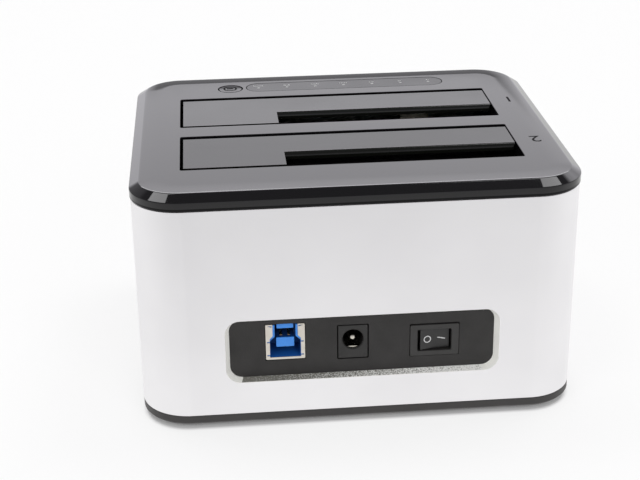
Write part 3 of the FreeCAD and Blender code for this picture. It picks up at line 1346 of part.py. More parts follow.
def ribbon_side(offset):
    """One long edge of the ribbon, drawn at an offset from its middle line: straight, two arcs, straight."""
    top = SMALL_BOARD_Z - PLUG_SIZE[2]
    bottom = BOARD_TOP + PLUG_SIZE[2]
    shift = PLUG_LOWER_X - PLUG_UPPER_X
    turn = math.acos(1 - shift / (2 * RIBBON_BEND))
    middle = (top + bottom) / 2
    start = middle + RIBBON_BEND * math.sin(turn)
    end = middle - RIBBON_BEND * math.sin(turn)

    def upper(angle):
        radius = RIBBON_BEND - offset
        x = PLUG_UPPER_X + RIBBON_BEND - radius * math.cos(angle)
        return Vector(x, 0, start - radius * math.sin(angle))

    def lower(angle):
        radius = RIBBON_BEND + offset
        x = PLUG_LOWER_X - RIBBON_BEND + radius * math.cos(angle)
        return Vector(x, 0, end + radius * math.sin(angle))

    return [
        Part.LineSegment(Vector(PLUG_UPPER_X + offset, 0, top), upper(0)).toShape(),
        Part.Arc(upper(0), upper(turn / 2), upper(turn)).toShape(),
        Part.Arc(lower(turn), lower(turn / 2), lower(0)).toShape(),
        Part.LineSegment(lower(0), Vector(PLUG_LOWER_X + offset, 0, bottom)).toShape(),
    ]


def make_indicator_cable():
    """Flat ribbon harness between the two plugs, in a long double bend."""
    half = RIBBON_THICKNESS / 2
    left = ribbon_side(-half)
    right = ribbon_side(half)
    closing = []
    for end in (0, -1):
        corners = [side[end].Vertexes[end].Point for side in (left, right)]
        closing.append(Part.LineSegment(*corners).toShape())
    outline = Part.Wire(Part.__sortEdges__(left + right + closing))
    face = Part.Face(outline)
    face.translate(Vector(0, PLUG_Y - RIBBON_WIDTH / 2, 0))
    return face.extrude(BACK * RIBBON_WIDTH)


PARTS = {
    "sleeve": make_sleeve,
    "top_cover": make_top_cover,
    "base": make_base,
    "rubber_feet": make_rubber_feet,
    "case_screws": make_case_screws,
    "rear_panel": make_rear_panel,
    "drive_cage": make_drive_cage,
    "cage_screws": make_cage_screws,
    "flap_a": lambda: make_flap(SLOT_A),
    "flap_b": lambda: make_flap(SLOT_B),
    "flap_pin_a": lambda: make_flap_pin(SLOT_A),
    "flap_pin_b": lambda: make_flap_pin(SLOT_B),
    "flap_spring_a": lambda: make_flap_spring(SLOT_A),
    "flap_spring_b": lambda: make_flap_spring(SLOT_B),
    "sata_socket_a": lambda: make_sata_socket(SLOT_A),
    "sata_socket_b": lambda: make_sata_socket(SLOT_B),
    "sata_contacts_a": lambda: make_sata_contacts(SLOT_A),
    "sata_contacts_b": lambda: make_sata_contacts(SLOT_B),
    "main_board": make_main_board,
    "board_screws": make_board_screws,
    "bridge_chip": make_bridge_chip,
    "small_chips": make_small_chips,
    "capacitors": make_capacitors,
    "inductors": make_inductors,
    "crystal": make_crystal,
    "board_header": make_board_header,
    "usb_shell": make_usb_shell,
    "usb_insulator": make_usb_insulator,
    "usb_contacts": make_usb_contacts,
    "jack_body": make_jack_body,
    "jack_pin": make_jack_pin,
    "jack_terminals": make_jack_terminals,
    "switch_housing": make_switch_housing,
    "switch_rocker": make_switch_rocker,
    "switch_terminals": make_switch_terminals,
    "led_window": make_led_window,
    "light_guide": make_light_guide,
    "indicator_board": make_indicator_board,
    "indicator_leds": make_indicator_leds,
    "indicator_screws": make_indicator_screws,
    "indicator_plug": make_indicator_plug,
    "indicator_cable": make_indicator_cable,
    "clone_button": make_clone_button,
    "button_plunger": make_button_plunger,
    "button_switch": make_button_switch,
}

os.makedirs("parts", exist_ok=True)
for name, make in PARTS.items():
    shape = make()
    shape.exportStep(f"parts/{name}.step")
    print(name, "solids", len(shape.Solids), "volume", round(shape.Volume, 1), "valid", shape.isValid())
print("overall", CASE_WIDTH + 2 * RIM_PROUD, CASE_DEPTH + 2 * RIM_PROUD, TOP_Z)
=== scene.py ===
"""Two-bay dock for bare hard drives: the looks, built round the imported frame.

Pieces are modelled in millimetres at their place on the object and handed over in metres.
"""

import logging
import math
from dataclasses import dataclass
from enum import Enum
from typing import Callable, Iterable, Optional, Sequence

import bmesh
import bpy
from mathutils import Matrix, Vector


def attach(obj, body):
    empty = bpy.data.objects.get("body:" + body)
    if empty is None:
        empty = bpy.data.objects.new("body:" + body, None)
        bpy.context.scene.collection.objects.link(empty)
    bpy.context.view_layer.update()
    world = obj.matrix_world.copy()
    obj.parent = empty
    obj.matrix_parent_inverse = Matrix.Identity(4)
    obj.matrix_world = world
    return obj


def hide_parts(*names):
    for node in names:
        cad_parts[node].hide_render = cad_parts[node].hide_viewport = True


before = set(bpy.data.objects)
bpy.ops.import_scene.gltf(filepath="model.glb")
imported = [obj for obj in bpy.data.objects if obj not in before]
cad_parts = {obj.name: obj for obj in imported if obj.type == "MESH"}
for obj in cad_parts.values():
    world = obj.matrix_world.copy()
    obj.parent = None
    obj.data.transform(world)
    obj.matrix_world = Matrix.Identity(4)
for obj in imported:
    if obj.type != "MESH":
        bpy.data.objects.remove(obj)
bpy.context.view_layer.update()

logging.basicConfig(level=logging.INFO, format="%(name)s: %(message)s")
log = logging.getLogger("dock")

MM = 0.001
MM_PER_METRE = 1000.0
DOCK = "dock_body"
SIDES = (-1, 1)
WHITE = (1.0, 1.0, 1.0, 1.0)
# The noise that clouds every finish, its span that changes the sheen, and the span of a relief's
# height that turns to painted light and dark flecks.
CLOUD_DETAIL = 3.0
CLOUD_ROUGHNESS = 0.55
CLOUD_SPAN = (0.3, 0.7)
PAINTED_FLECK_SPAN = (0.15, 0.7)
CELL_SMOOTHNESS = 0.6
COAT_ROUGHNESS = 0.04
# Height in metres that the softboxes face.
AIM = 0.06
# Steps of every arc and softened edge; the least corner of a loop and how close points merge, in
# millimetres.
ARC_STEPS = 10
SOFT_STEPS = 6
LEAST_CORNER = 0.02
SEAM = 1e-4
WELD = 2e-4
CAD_WELD = 1e-3

Point = Sequence[float]
Pair = tuple[float, float]
Profile = Sequence[Pair]


# Finishes

class Pattern(Enum):
    """How a surface was made, which gives its fine relief."""

    BLAST = "pits of fine blasting grit"
    SPARK = "grain of a spark-eroded mould"
    PEEL = "faint ripple of a polished moulding"
    LINES = "fine lines of a tool or a drawing die"


@dataclass(frozen=True)
class Finish:
    """One real material and the way its surface was made; sizes in millimetres."""

    name: str
    slot: str
    colour: str
    shade: str
    patch: float
    rough: Pair
    pattern: Pattern
    pitch: float
    relief: float
    metallic: float = 0.0
    ior: float = 1.5
    coat: float = 0.0
    clear: float = 0.0
    run: tuple[float, float, float] = (1.0, 1.0, 1.0)
    # Flecks paint light and shade into the colour after the relief's height, and the fade thins them out per
    # metre along X, so that side is lighter as if lit from there.
    painted_flecks: bool = False
    painted_light_fade: float = 0.0

    def material(self) -> bpy.types.Material:
        """Returns the finish as a material, which is made the first time it is asked for."""
        known = bpy.data.materials.get(self.name)
        return known if known else self.make()

    def make(self) -> bpy.types.Material:
        """Builds the node tree of the finish.

        Returns:
            The new material.
        """
        made = bpy.data.materials.new(self.name)
        made.use_nodes = True
        tree = made.node_tree
        tree.nodes.clear()
        place = add_node(tree, "TexCoord").outputs["Object"]
        cloud = add_node(tree, "TexNoise", {
            "Vector": place, "Scale": MM_PER_METRE / self.patch, "Detail": CLOUD_DETAIL,
            "Roughness": CLOUD_ROUGHNESS,
        }).outputs[0]
        stretched = add_node(tree, "Mapping", {"Vector": place, "Scale": self.run}).outputs[0]
        height = self.height(tree, stretched)
        share = cloud
        # Painted light and shade: the colour follows the relief's height and grows lighter towards +X.
        if self.painted_flecks:
            along = add_node(tree, "SeparateXYZ", {0: place}).outputs["X"]
            height_with_painted_light = add_node(tree, "Math", {
                0: along, 1: -self.painted_light_fade, 2: height,
            }, operation="MULTIPLY_ADD").outputs[0]
            share = add_node(tree, "MapRange", {
                "Value": height_with_painted_light, "From Min": PAINTED_FLECK_SPAN[0], "From Max": PAINTED_FLECK_SPAN[1],
            }).outputs[0]
        tint = add_node(tree, "Mix", {
            0: share, 6: linear(self.colour), 7: linear(self.shade),
        }, data_type="RGBA").outputs[2]
        sheen = add_node(tree, "MapRange", {
            "Value": cloud, "From Min": CLOUD_SPAN[0], "From Max": CLOUD_SPAN[1],
            "To Min": self.rough[0], "To Max": self.rough[1],
        }).outputs[0]
        bump = add_node(tree, "Bump", {
            "Height": height, "Strength": 1.0, "Distance": self.relief * MM,
        }).outputs[0]
        sockets = {
            "Base Color": tint, "Roughness": sheen, "Normal": bump, "Metallic": self.metallic,
            "Coat Weight": self.coat, "Coat Roughness": COAT_ROUGHNESS, "Transmission Weight": self.clear,
        }
        if not self.metallic:
            sockets["IOR"] = self.ior
        surface = add_node(tree, "BsdfPrincipled", sockets).outputs[0]
        add_node(tree, "OutputMaterial", {"Surface": surface})
        return made

    def height(self, tree: bpy.types.NodeTree, place: bpy.types.NodeSocket) -> bpy.types.NodeSocket:
        """Adds the relief's pattern.

        Args:
            tree: The material's node tree.
            place: The coordinates that the pattern follows.

        Returns:
            The pattern's height, from 0 to 1.
        """
        scale = MM_PER_METRE / self.pitch
        if self.pattern is Pattern.SPARK:
            cells = add_node(tree, "TexVoronoi", {
                "Vector": place, "Scale": scale, "Smoothness": CELL_SMOOTHNESS,
            }, feature="SMOOTH_F1")
            return cells.outputs["Distance"]
        detail = {Pattern.BLAST: 2.0, Pattern.PEEL: 0.0, Pattern.LINES: 1.0}[self.pattern]
        return add_node(tree, "TexNoise", {
            "Vector": place, "Scale": scale, "Detail": detail,
        }).outputs[0]


def linear(code: str) -> tuple[float, float, float, float]:
    """Turns an sRGB hex value to a linear colour.

    Args:
        code: The value, with its leading hash.

    Returns:
        Red, green, blue and an alpha of 1.
    """
    parts = [int(code[index:index + 2], 16) / 255 for index in (1, 3, 5)]
    red, green, blue = [c / 12.92 if c <= 0.04045 else ((c + 0.055) / 1.055) ** 2.4 for c in parts]
    return red, green, blue, 1.0


def add_node(
    tree: bpy.types.NodeTree, kind: str, inputs: Optional[dict] = None, **settings
) -> bpy.types.Node:
    """Adds a node with its settings and links.

    Args:
        tree: The node tree.
        kind: The node's type name, without the word ShaderNode.
        inputs: Input names or numbers, each with a value or the output that feeds it.
        settings: The node's own properties.

    Returns:
        The new node.
    """
    node = tree.nodes.new("ShaderNode" + kind)
    for key, value in settings.items():
        setattr(node, key, value)
    for key, value in (inputs or {}).items():
        if isinstance(value, bpy.types.NodeSocket):
            tree.links.new(value, node.inputs[key])
        else:
            node.inputs[key].default_value = value
    return node


# Extruded 6063 aluminium, blasted with fine grit and clear anodised: an even, pale, silky grey.
ALUMINIUM = Finish("blasted anodised aluminium", "sleeve_metal", "#efeeef", "#e8e7e8", 40.0,
    (0.42, 0.5), Pattern.BLAST, 0.35, 0.006, metallic=1.0)
# The same aluminium where the cut-out was filed, with light painted in: the cut faces get a near-white,
# mostly diffuse copy that paints their highlight, and the long lower face gets light and dark flecks after
# its torn relief, painted glints and shade, which thin out towards +X as painted light from the right.
FILED_PAINTED_HIGHLIGHT = Finish("filed aluminium with painted highlight", "sleeve_metal", "#fffffa", "#f9f8f2", 1.5, (0.45, 0.6),
    Pattern.LINES, 0.4, 0.02, metallic=0.1)
TORN_PAINTED_GLINTS = Finish("torn aluminium with painted glints and shade", "sleeve_metal", "#fffffc", "#7c7b74", 1.5, (0.4, 0.6),
    Pattern.SPARK, 0.42, 0.04, metallic=0.1, painted_flecks=True, painted_light_fade=10.0)
# ABS moulded in a mirror-polished tool: black, wet-looking, with a faint ripple.
GLOSS = Finish("polished black ABS", "cover_gloss", "#0b0a0c", "#0e0d0f", 30.0, (0.04, 0.07),
    Pattern.PEEL, 6.0, 0.0015, ior=1.48)
# The cover's lowest edge, its hem, gets a rougher copy of the gloss with a lowered IOR, so it mirrors
# less: a painted dark reflection.
HEM_PAINTED_DARK = Finish("hem of the cover with painted dark reflection", "cover_gloss", "#0b0a0c", "#0e0d0f", 30.0, (0.2, 0.3),
    Pattern.PEEL, 6.0, 0.0015, ior=1.22)
FLAP_GLOSS = Finish("polished black ABS of the flaps", "flap_gloss", "#0f100e", "#121310", 30.0,
    (0.08, 0.12), Pattern.PEEL, 5.0, 0.003, ior=1.49)
# The flap of the nearer slot gets a rougher copy of the flaps' gloss with a lower IOR, so it mirrors
# less: a painted darker reflection.
FLAP_PAINTED_DARK = Finish("black ABS of the nearer flap with painted dark reflection", "flap_gloss", "#0e0f0d", "#131411", 30.0,
    (0.1, 0.15), Pattern.PEEL, 5.0, 0.004, ior=1.39)
BUTTON_GLOSS = Finish("polished black ABS of the button", "button_gloss", "#0d0c0e", "#100f11", 8.0,
    (0.08, 0.12), Pattern.PEEL, 3.0, 0.002, ior=1.46)
# ABS from a lightly eroded tool: dark grey-black with a soft sheen.
BASE_ABS = Finish("fine-grained black ABS", "base_plastic", "#343231", "#2e2c2b", 12.0, (0.45, 0.55),
    Pattern.SPARK, 0.45, 0.012)
# ABS from a deeply eroded tool: matt charcoal that hides fingerprints.
PANEL_ABS = Finish("spark-eroded charcoal ABS", "panel_plastic", "#262423", "#21201f", 9.0,
    (0.55, 0.68), Pattern.SPARK, 0.4, 0.02)
CAGE_ABS = Finish("moulded black ABS of the cage", "cage_plastic", "#1b1b1c", "#222123", 14.0,
    (0.38, 0.5), Pattern.SPARK, 0.5, 0.01)
# Silicone-like thermoplastic rubber: dull, slightly dusty.
RUBBER = Finish("moulded black rubber", "feet_rubber", "#1d1d1d", "#2a2929", 3.0, (0.75, 0.9),
    Pattern.BLAST, 0.4, 0.02)
# Carbon steel with a bright zinc plating: cool grey, slightly mottled.
ZINC = Finish("zinc-plated steel screw", "screw_steel", "#b9bcc0", "#a3a6aa", 1.5, (0.28, 0.42),
    Pattern.LINES, 0.2, 0.004, metallic=1.0)
PIN_STEEL = Finish("ground steel pin", "pin_steel", "#c4c5c7", "#b4b5b7", 4.0, (0.15, 0.25),
    Pattern.LINES, 0.15, 0.002, metallic=1.0, run=(8.0, 1.0, 1.0))
# Hard-drawn spring wire with its grey drawing film.
SPRING_STEEL = Finish("hard-drawn spring wire", "spring_steel", "#9a9894", "#7f7d79", 1.0, (0.28, 0.4),
    Pattern.LINES, 0.15, 0.004, metallic=1.0)
# Glass-filled nylon of connectors: dense black, faintly fibrous.
SOCKET_NYLON = Finish("glass-filled black nylon", "socket_plastic", "#161617", "#232324", 2.5,
    (0.42, 0.58), Pattern.LINES, 0.35, 0.01, run=(0.4, 1.0, 1.0))
# Flash of gold over nickel: warm, bright, slightly worn to paler metal.
GILT = Finish("gold-flashed contact", "contact_gilt", "#e2b45a", "#d9c08c", 1.2, (0.18, 0.3),
    Pattern.LINES, 0.15, 0.003, metallic=1.0, run=(1.0, 0.3, 1.0))
# Glass-epoxy laminate under a green solder mask: glossy, with the weave just felt.
BOARD = Finish("green solder mask", "board_green", "#14502f", "#1c6139", 3.0, (0.22, 0.32),
    Pattern.SPARK, 0.6, 0.008, coat=0.4)
# Transfer-moulded epoxy of chips: charcoal with a fine tooth.
EPOXY = Finish("moulded chip epoxy", "chip_epoxy", "#232324", "#2b2a2a", 1.5, (0.5, 0.62),
    Pattern.SPARK, 0.25, 0.008)
CAN = Finish("drawn aluminium can", "can_metal", "#c8c9ca", "#b6b7b8", 2.0, (0.22, 0.34),
    Pattern.LINES, 0.2, 0.004, metallic=1.0, run=(1.0, 1.0, 0.2))
# Sintered ferrite with its ground faces: slate grey.
FERRITE = Finish("sintered ferrite", "coil_grey", "#4b4b4c", "#5a5a5b", 1.2, (0.5, 0.66),
    Pattern.BLAST, 0.2, 0.01)
NYLON_WHITE = Finish("natural nylon of the plugs", "plug_white", "#e4dfd2", "#d8d2c3", 2.5, (0.35, 0.5),
    Pattern.PEEL, 0.8, 0.004)
# Soft PVC over stranded wire: satin black.
PVC = Finish("soft black PVC", "cable_black", "#1a1a1a", "#242424", 4.0, (0.42, 0.55),
    Pattern.PEEL, 1.2, 0.01)
# Tin-plated brass strip, folded and slightly milky.
TINPLATE = Finish("tin-plated brass shell", "usb_metal", "#d8d3cb", "#c8c2b8", 2.0, (0.3, 0.44),
    Pattern.LINES, 0.25, 0.004, metallic=1.0, run=(1.0, 1.0, 0.3))
# Glass-filled PBT in the standard blue of fast ports, with light and shade painted in: a lighter copy
# paints the light on its front faces and a darker copy the shade inside the socket.
PORT_BLUE = Finish("blue glass-filled PBT", "usb_blue", "#2063b4", "#1b59a6", 2.0, (0.34, 0.46),
    Pattern.SPARK, 0.3, 0.006)
BLUE_PAINTED_SHADE = Finish("blue glass-filled PBT with painted shade", "usb_blue", "#123c78", "#0f3468", 2.0,
    (0.4, 0.5), Pattern.SPARK, 0.3, 0.006)
BLUE_PAINTED_LIGHT = Finish("blue glass-filled PBT with painted light", "usb_blue", "#3d8be0", "#3682d8", 2.0,
    (0.3, 0.4), Pattern.SPARK, 0.3, 0.006)
JACK_PBT = Finish("black PBT of the power inlet", "jack_plastic", "#222120", "#1d1c1b", 4.0, (0.46, 0.6),
    Pattern.SPARK, 0.3, 0.01)
NICKEL = Finish("nickel-plated brass", "jack_metal", "#d6d2c8", "#bdb8ac", 1.5, (0.16, 0.28),
    Pattern.LINES, 0.15, 0.003, metallic=1.0)
SWITCH_NYLON = Finish("black nylon of the switch", "switch_plastic", "#2b2a29", "#272625", 4.0,
    (0.4, 0.52), Pattern.SPARK, 0.35, 0.01)
ROCKER_NYLON = Finish("black nylon of the rocker", "rocker_plastic", "#201f1f", "#1c1b1b", 4.0,
    (0.34, 0.44), Pattern.SPARK, 0.35, 0.008)
# Cast acrylic tinted almost black, polished on its face.
SMOKE = Finish("smoked acrylic", "window_smoke", "#0d0d0f", "#101012", 20.0, (0.05, 0.08),
    Pattern.PEEL, 7.0, 0.001, ior=1.34)
ACRYLIC = Finish("clear acrylic", "guide_clear", "#f4f6f6", "#eef1f1", 10.0, (0.08, 0.14),
    Pattern.PEEL, 4.0, 0.001, ior=1.49, clear=1.0)
LAMP = Finish("white light emitter", "led_white", "#f1efe4", "#e6e2cf", 0.8, (0.3, 0.4),
    Pattern.PEEL, 0.6, 0.002)
# Pad-printed ink: dead flat and just thick enough to catch an edge.
WHITE_INK = Finish("white pad-printed ink", "rocker_plastic", "#cfcfcf", "#c4c4c4", 0.8, (0.5, 0.6),
    Pattern.BLAST, 0.2, 0.003)
GREY_INK = Finish("thin white ink on the cover", "cover_gloss", "#a2a2a2", "#969696", 0.8, (0.5, 0.6),
    Pattern.BLAST, 0.2, 0.003)
DARK_INK = Finish("dark pad-printed ink", "button_gloss", "#161517", "#1b1a1c", 0.8, (0.7, 0.8),
    Pattern.BLAST, 0.2, 0.003, ior=1.15)
# Uncoated paper of the studio's floor.
PAPER = Finish("matt white paper", "none", "#f4f4f4", "#f1f1f1", 400.0, (0.8, 0.9), Pattern.BLAST, 3.0, 0.01)


# Modelling

class Along(Enum):
    """Axis that a shape's own upright axis is laid along."""

    X = Matrix(((0, 0, 1, 0), (1, 0, 0, 0), (0, 1, 0, 0), (0, 0, 0, 1)))
    Y = Matrix(((1, 0, 0, 0), (0, 0, 1, 0), (0, 1, 0, 0), (0, 0, 0, 1)))
    Z = Matrix.Identity(4)


def arc(centre: Point, radius: float, start: float, end: float) -> list[Pair]:
    """Returns points on an arc between two angles in degrees."""
    turns = [math.radians(start + (end - start) * step / ARC_STEPS) for step in range(ARC_STEPS + 1)]
    return [(centre[0] + radius * math.cos(turn), centre[1] + radius * math.sin(turn)) for turn in turns]


def mirrored(half: Profile) -> list[Pair]:
    """Returns an outline made of its right half and that half's mirror image."""
    return list(half) + [(-x, y) for x, y in reversed(half)]


def lifted(profile: Profile, height: float) -> list[Pair]:
    """Returns a profile whose heights counted from the one given."""
    return [(inset, rise + height) for inset, rise in profile]


def put(name: str, data: bpy.types.ID) -> bpy.types.Object:
    """Adds an object to the scene.

    Args:
        name: The object's name.
        data: Its mesh, curve, light or camera.

    Returns:
        The new object.
    """
    made = bpy.data.objects.new(name, data)
    bpy.context.scene.collection.objects.link(made)
    return made


class Draft:
    """A piece being modelled, in millimetres."""

    def __init__(self) -> None:
        """Starts with nothing."""
        self.bm = bmesh.new()

    def place(self, matrix: Matrix, verts: Optional[Iterable] = None) -> "Draft":
        """Moves vertices by a matrix.

        Args:
            matrix: The move.
            verts: The vertices, or None for all of them.

        Returns:
            This draft.
        """
        bmesh.ops.transform(self.bm, matrix=matrix, verts=list(verts or self.bm.verts))
        return self

    def bevel(self, geom: Iterable, width: float, steps: int, affect: str = "EDGES") -> dict:
        """Rounds edges or corners.

        Args:
            geom: The edges, or the corners' vertices.
            width: Width of the rounding.
            steps: Segments of the rounding.
            affect: Which of the two are given.

        Returns:
            What the operator made.
        """
        return bmesh.ops.bevel(
            self.bm, geom=list(geom), offset=width, offset_type="OFFSET", affect=affect,
            segments=steps, profile=0.5, material=-1, clamp_overlap=False,
        )

    def thicken(self, faces: Iterable, height: float) -> list:
        """Extrudes faces upwards.

        Args:
            faces: The faces.
            height: How far.

        Returns:
            The new vertices.
        """
        made = bmesh.ops.extrude_face_region(self.bm, geom=list(faces))["geom"]
        upper = [item for item in made if isinstance(item, bmesh.types.BMVert)]
        bmesh.ops.translate(self.bm, vec=(0, 0, height), verts=upper)
        return upper

    def block(self, one: Point, other: Point, edge: float = 0.0) -> "Draft":
        """Adds a box.

        Args:
            one: One of its corners.
            other: The corner opposite.
            edge: Width of the rounding on all its edges.

        Returns:
            This draft.
        """
        size = [abs(far - near) for near, far in zip(one, other)]
        middle = (Vector(one) + Vector(other)) / 2
        verts = bmesh.ops.create_cube(self.bm, size=1.0)["verts"]
        self.place(Matrix.Translation(middle) @ Matrix.Diagonal((*size, 1.0)), verts)
        if edge:
            self.bevel({link for vert in verts for link in vert.link_edges}, edge, 2)
        return self

    def ring(self, size: Point, corner: float, level: float, centre: Point, steps: int) -> list:
        """Adds one level loop of a rectangle with round corners.

        Args:
            size: Width and depth.
            corner: Radius of the corners.
            level: Height of the loop.
            centre: Middle of the rectangle.
            steps: Segments in each corner.

        Returns:
            The loop's edges.
        """
        verts = bmesh.ops.create_grid(self.bm, x_segments=1, y_segments=1, size=0.5)["verts"]
        self.place(Matrix.Translation((*centre, level)) @ Matrix.Diagonal((*size, 1.0, 1.0)), verts)
        verts = self.bevel(verts, corner, steps, "VERTICES")["verts"]
        face = max(verts[0].link_faces, key=lambda one: len(one.verts))
        edges = list(face.edges)
        bmesh.ops.delete(self.bm, geom=[face], context="FACES_ONLY")
        return edges

    def loft(
        self, size: Point, corner: float, levels: Profile, centre: Point = (0.0, 0.0), steps: int = 16,
        along: Along = Along.Z, closed: bool = False,
    ) -> "Draft":
        """Adds a body with a rounded outline from a list of levels.

        Args:
            size: Width and depth of the outline.
            corner: Radius of its corners.
            levels: Inset and height of each loop, in order along the wall.
            centre: Middle of the outline.
            steps: Segments in each corner.
            along: Axis of the body.
            closed: Whether the last loop joins the first, instead of a cap at each end.

        Returns:
            This draft.
        """
        rings = []
        for inset, level in levels:
            reach = (size[0] - 2 * inset, size[1] - 2 * inset)
            rings.append(self.ring(reach, max(corner - inset, LEAST_CORNER), level, centre, steps))
        verts = {vert for ring in rings for edge in ring for vert in edge.verts}
        following = rings[1:] + rings[:1] if closed else rings[1:]
        for near, far in zip(rings, following):
            bmesh.ops.bridge_loops(self.bm, edges=near + far)
        if not closed:
            for ring in (rings[0], rings[-1]):
                bmesh.ops.contextual_create(self.bm, geom=ring)
        return self.place(along.value, verts)

    def lathe(self, profile: Profile, centre: Point, along: Along = Along.Z, steps: int = 32) -> "Draft":
        """Adds a turned body.

        Args:
            profile: Radius and height of each point; the first and last lie on the axis or meet.
            centre: Point that the profile's height starts from.
            along: Axis of the body.
            steps: Segments round the axis.

        Returns:
            This draft.
        """
        old = set(self.bm.verts)
        verts = [self.bm.verts.new((radius, 0.0, height)) for radius, height in profile]
        edges = [self.bm.edges.new(pair) for pair in zip(verts, verts[1:])]
        bmesh.ops.spin(
            self.bm, geom=verts + edges, cent=(0, 0, 0), axis=(0, 0, 1), angle=2 * math.pi,
            steps=steps, use_merge=True,
        )
        fresh = [vert for vert in self.bm.verts if vert not in old]
        bmesh.ops.remove_doubles(self.bm, verts=fresh, dist=SEAM)
        fresh = [vert for vert in self.bm.verts if vert not in old]
        return self.place(Matrix.Translation(centre) @ along.value, fresh)

    def rod(
        self, centre: Point, radius: float, length: float, along: Along = Along.Z, edge: float = 0.2,
        steps: int = 32,
    ) -> "Draft":
        """Adds a round rod with eased ends.

        Args:
            centre: Middle of its lower end.
            radius: Radius of the rod.
            length: Length of the rod.
            along: Axis of the rod.
            edge: Width of the easing on both ends.
            steps: Segments round the axis.

        Returns:
            This draft.
        """
        profile = [
            (0.0, 0.0), (radius - edge, 0.0), (radius, edge), (radius, length - edge),
            (radius - edge, length), (0.0, length),
        ]
        return self.lathe(profile, centre, along, steps)

    def slab(
        self, outline: Profile, low: float, high: float, along: Along = Along.Z, edge: float = 0.0
    ) -> "Draft":
        """Adds a straight extrusion of a polygon.

        Args:
            outline: The polygon's corners.
            low: Where the extrusion starts.
            high: Where it ends.
            along: Axis of the extrusion.
            edge: Width of the rounding on all its edges.

        Returns:
            This draft.
        """
        verts = [self.bm.verts.new((x, y, low)) for x, y in outline]
        verts += self.thicken([self.bm.faces.new(verts)], high - low)
        if edge:
            made = self.bevel({link for vert in verts for link in vert.link_edges}, edge, 3)
            verts = {vert for part in made["faces"] for vert in part.verts}
        return self.place(along.value, verts)

    def soften(self, width: float, where: Callable[[Vector], bool]) -> None:
        """Rounds the edges whose two ends lie in one place.

        Args:
            width: Width of the rounding.
            where: Says of a point whether it lies there.
        """
        edges = [edge for edge in self.bm.edges if all(where(vert.co) for vert in edge.verts)]
        self.bevel(edges, width, SOFT_STEPS)

    def solid(self, name: str) -> bpy.types.Object:
        """Copies the draft to an object for a moment's use.

        Args:
            name: The object's name.

        Returns:
            The object, with one material slot for each number of a cut face.
        """
        bmesh.ops.recalc_face_normals(self.bm, faces=self.bm.faces)
        mesh = bpy.data.meshes.new(name)
        self.bm.to_mesh(mesh)
        mesh.materials.append(None)
        mesh.materials.append(None)
        return put(name, mesh)

    def carve(self, *tools: "Draft") -> "Draft":
        """Cuts other drafts out of this one.

        Args:
            tools: The shapes to take away; a cut face keeps its tool's finish.

        Returns:
            This draft.
        """
        body = self.solid("blank")
        cutters = [tool.solid("cutter") for tool in tools]
        for cutter in cutters:
            step = body.modifiers.new("cut", "BOOLEAN")
            step.operation = "DIFFERENCE"
            step.solver = "EXACT"
            step.object = cutter
        graph = bpy.context.evaluated_depsgraph_get()
        mesh = bpy.data.meshes.new_from_object(body.evaluated_get(graph))
        self.bm.clear()
        self.bm.from_mesh(mesh)
        bpy.data.meshes.remove(mesh)
        for used in (body, *cutters):
            mesh = used.data
            bpy.data.objects.remove(used)
            bpy.data.meshes.remove(mesh)
        return self

    def piece(
        self, name: str, finishes: Sequence[Finish], nodes: Sequence[str] = (), body: str = DOCK,
        edge: float = 0.0, steps: int = 2, sharp: float = 32.0,
    ) -> None:
        """Hands the draft over as a finished object.

        Args:
            name: Name of the piece.
            finishes: Its finishes, in the order of their numbers.
            nodes: CAD nodes that it stands for.
            body: CAD body that it moves with.
            edge: Width of a rounding on every sharp edge, in millimetres.
            steps: Segments of that rounding.
            sharp: Angle from which an edge stays sharp, in degrees.
        """
        bmesh.ops.remove_doubles(self.bm, verts=self.bm.verts, dist=WELD)
        bmesh.ops.recalc_face_normals(self.bm, faces=self.bm.faces)
        bmesh.ops.scale(self.bm, vec=(MM, MM, MM), verts=self.bm.verts)
        mesh = bpy.data.meshes.new(name)
        self.bm.to_mesh(mesh)
        self.bm.free()
        for finish in finishes:
            mesh.materials.append(finish.material())
        mesh.shade_smooth()
        mesh.set_sharp_from_angle(angle=math.radians(sharp))
        made = put(name, mesh)
        if edge:
            bevel = made.modifiers.new("rounded edges", "BEVEL")
            bevel.width = edge * MM
            bevel.segments = steps
            bevel.limit_method = "ANGLE"
            bevel.angle_limit = math.radians(sharp)
            bevel.harden_normals = True
        even = made.modifiers.new("even shading", "WEIGHTED_NORMAL")
        even.keep_sharp = True
        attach(made, body)
        if nodes:
            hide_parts(*nodes)
        log.info("%s: %d faces, on %s", name, len(mesh.polygons), body)


def refine(node: str, finish: Finish, edge: float) -> None:
    """Makes a piece of a CAD node's own shape, merged and with eased edges.

    Args:
        node: The CAD node, which the piece stands for.
        finish: The piece's finish.
        edge: Width of the rounding on its edges, in millimetres.
    """
    draft = Draft()
    draft.bm.from_mesh(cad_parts[node].data)
    bmesh.ops.scale(draft.bm, vec=[MM_PER_METRE] * 3, verts=draft.bm.verts)
    bmesh.ops.remove_doubles(draft.bm, verts=draft.bm.verts, dist=CAD_WELD)
    bmesh.ops.dissolve_limit(
        draft.bm, angle_limit=math.radians(1.0), verts=draft.bm.verts, edges=draft.bm.edges
    )
    for face in draft.bm.faces:
        face.material_index = 0
    draft.piece(node + "_dressed", [finish], [node], edge=edge)


def carry(node: str, finish: Finish) -> None:
    """Gives a CAD node that stays its finish.

    Args:
        node: The CAD node.
        finish: Its finish.
    """
    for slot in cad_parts[node].material_slots:
        slot.material = finish.material()
    log.info("%s: kept from the frame", node)


# Sub-assemblies

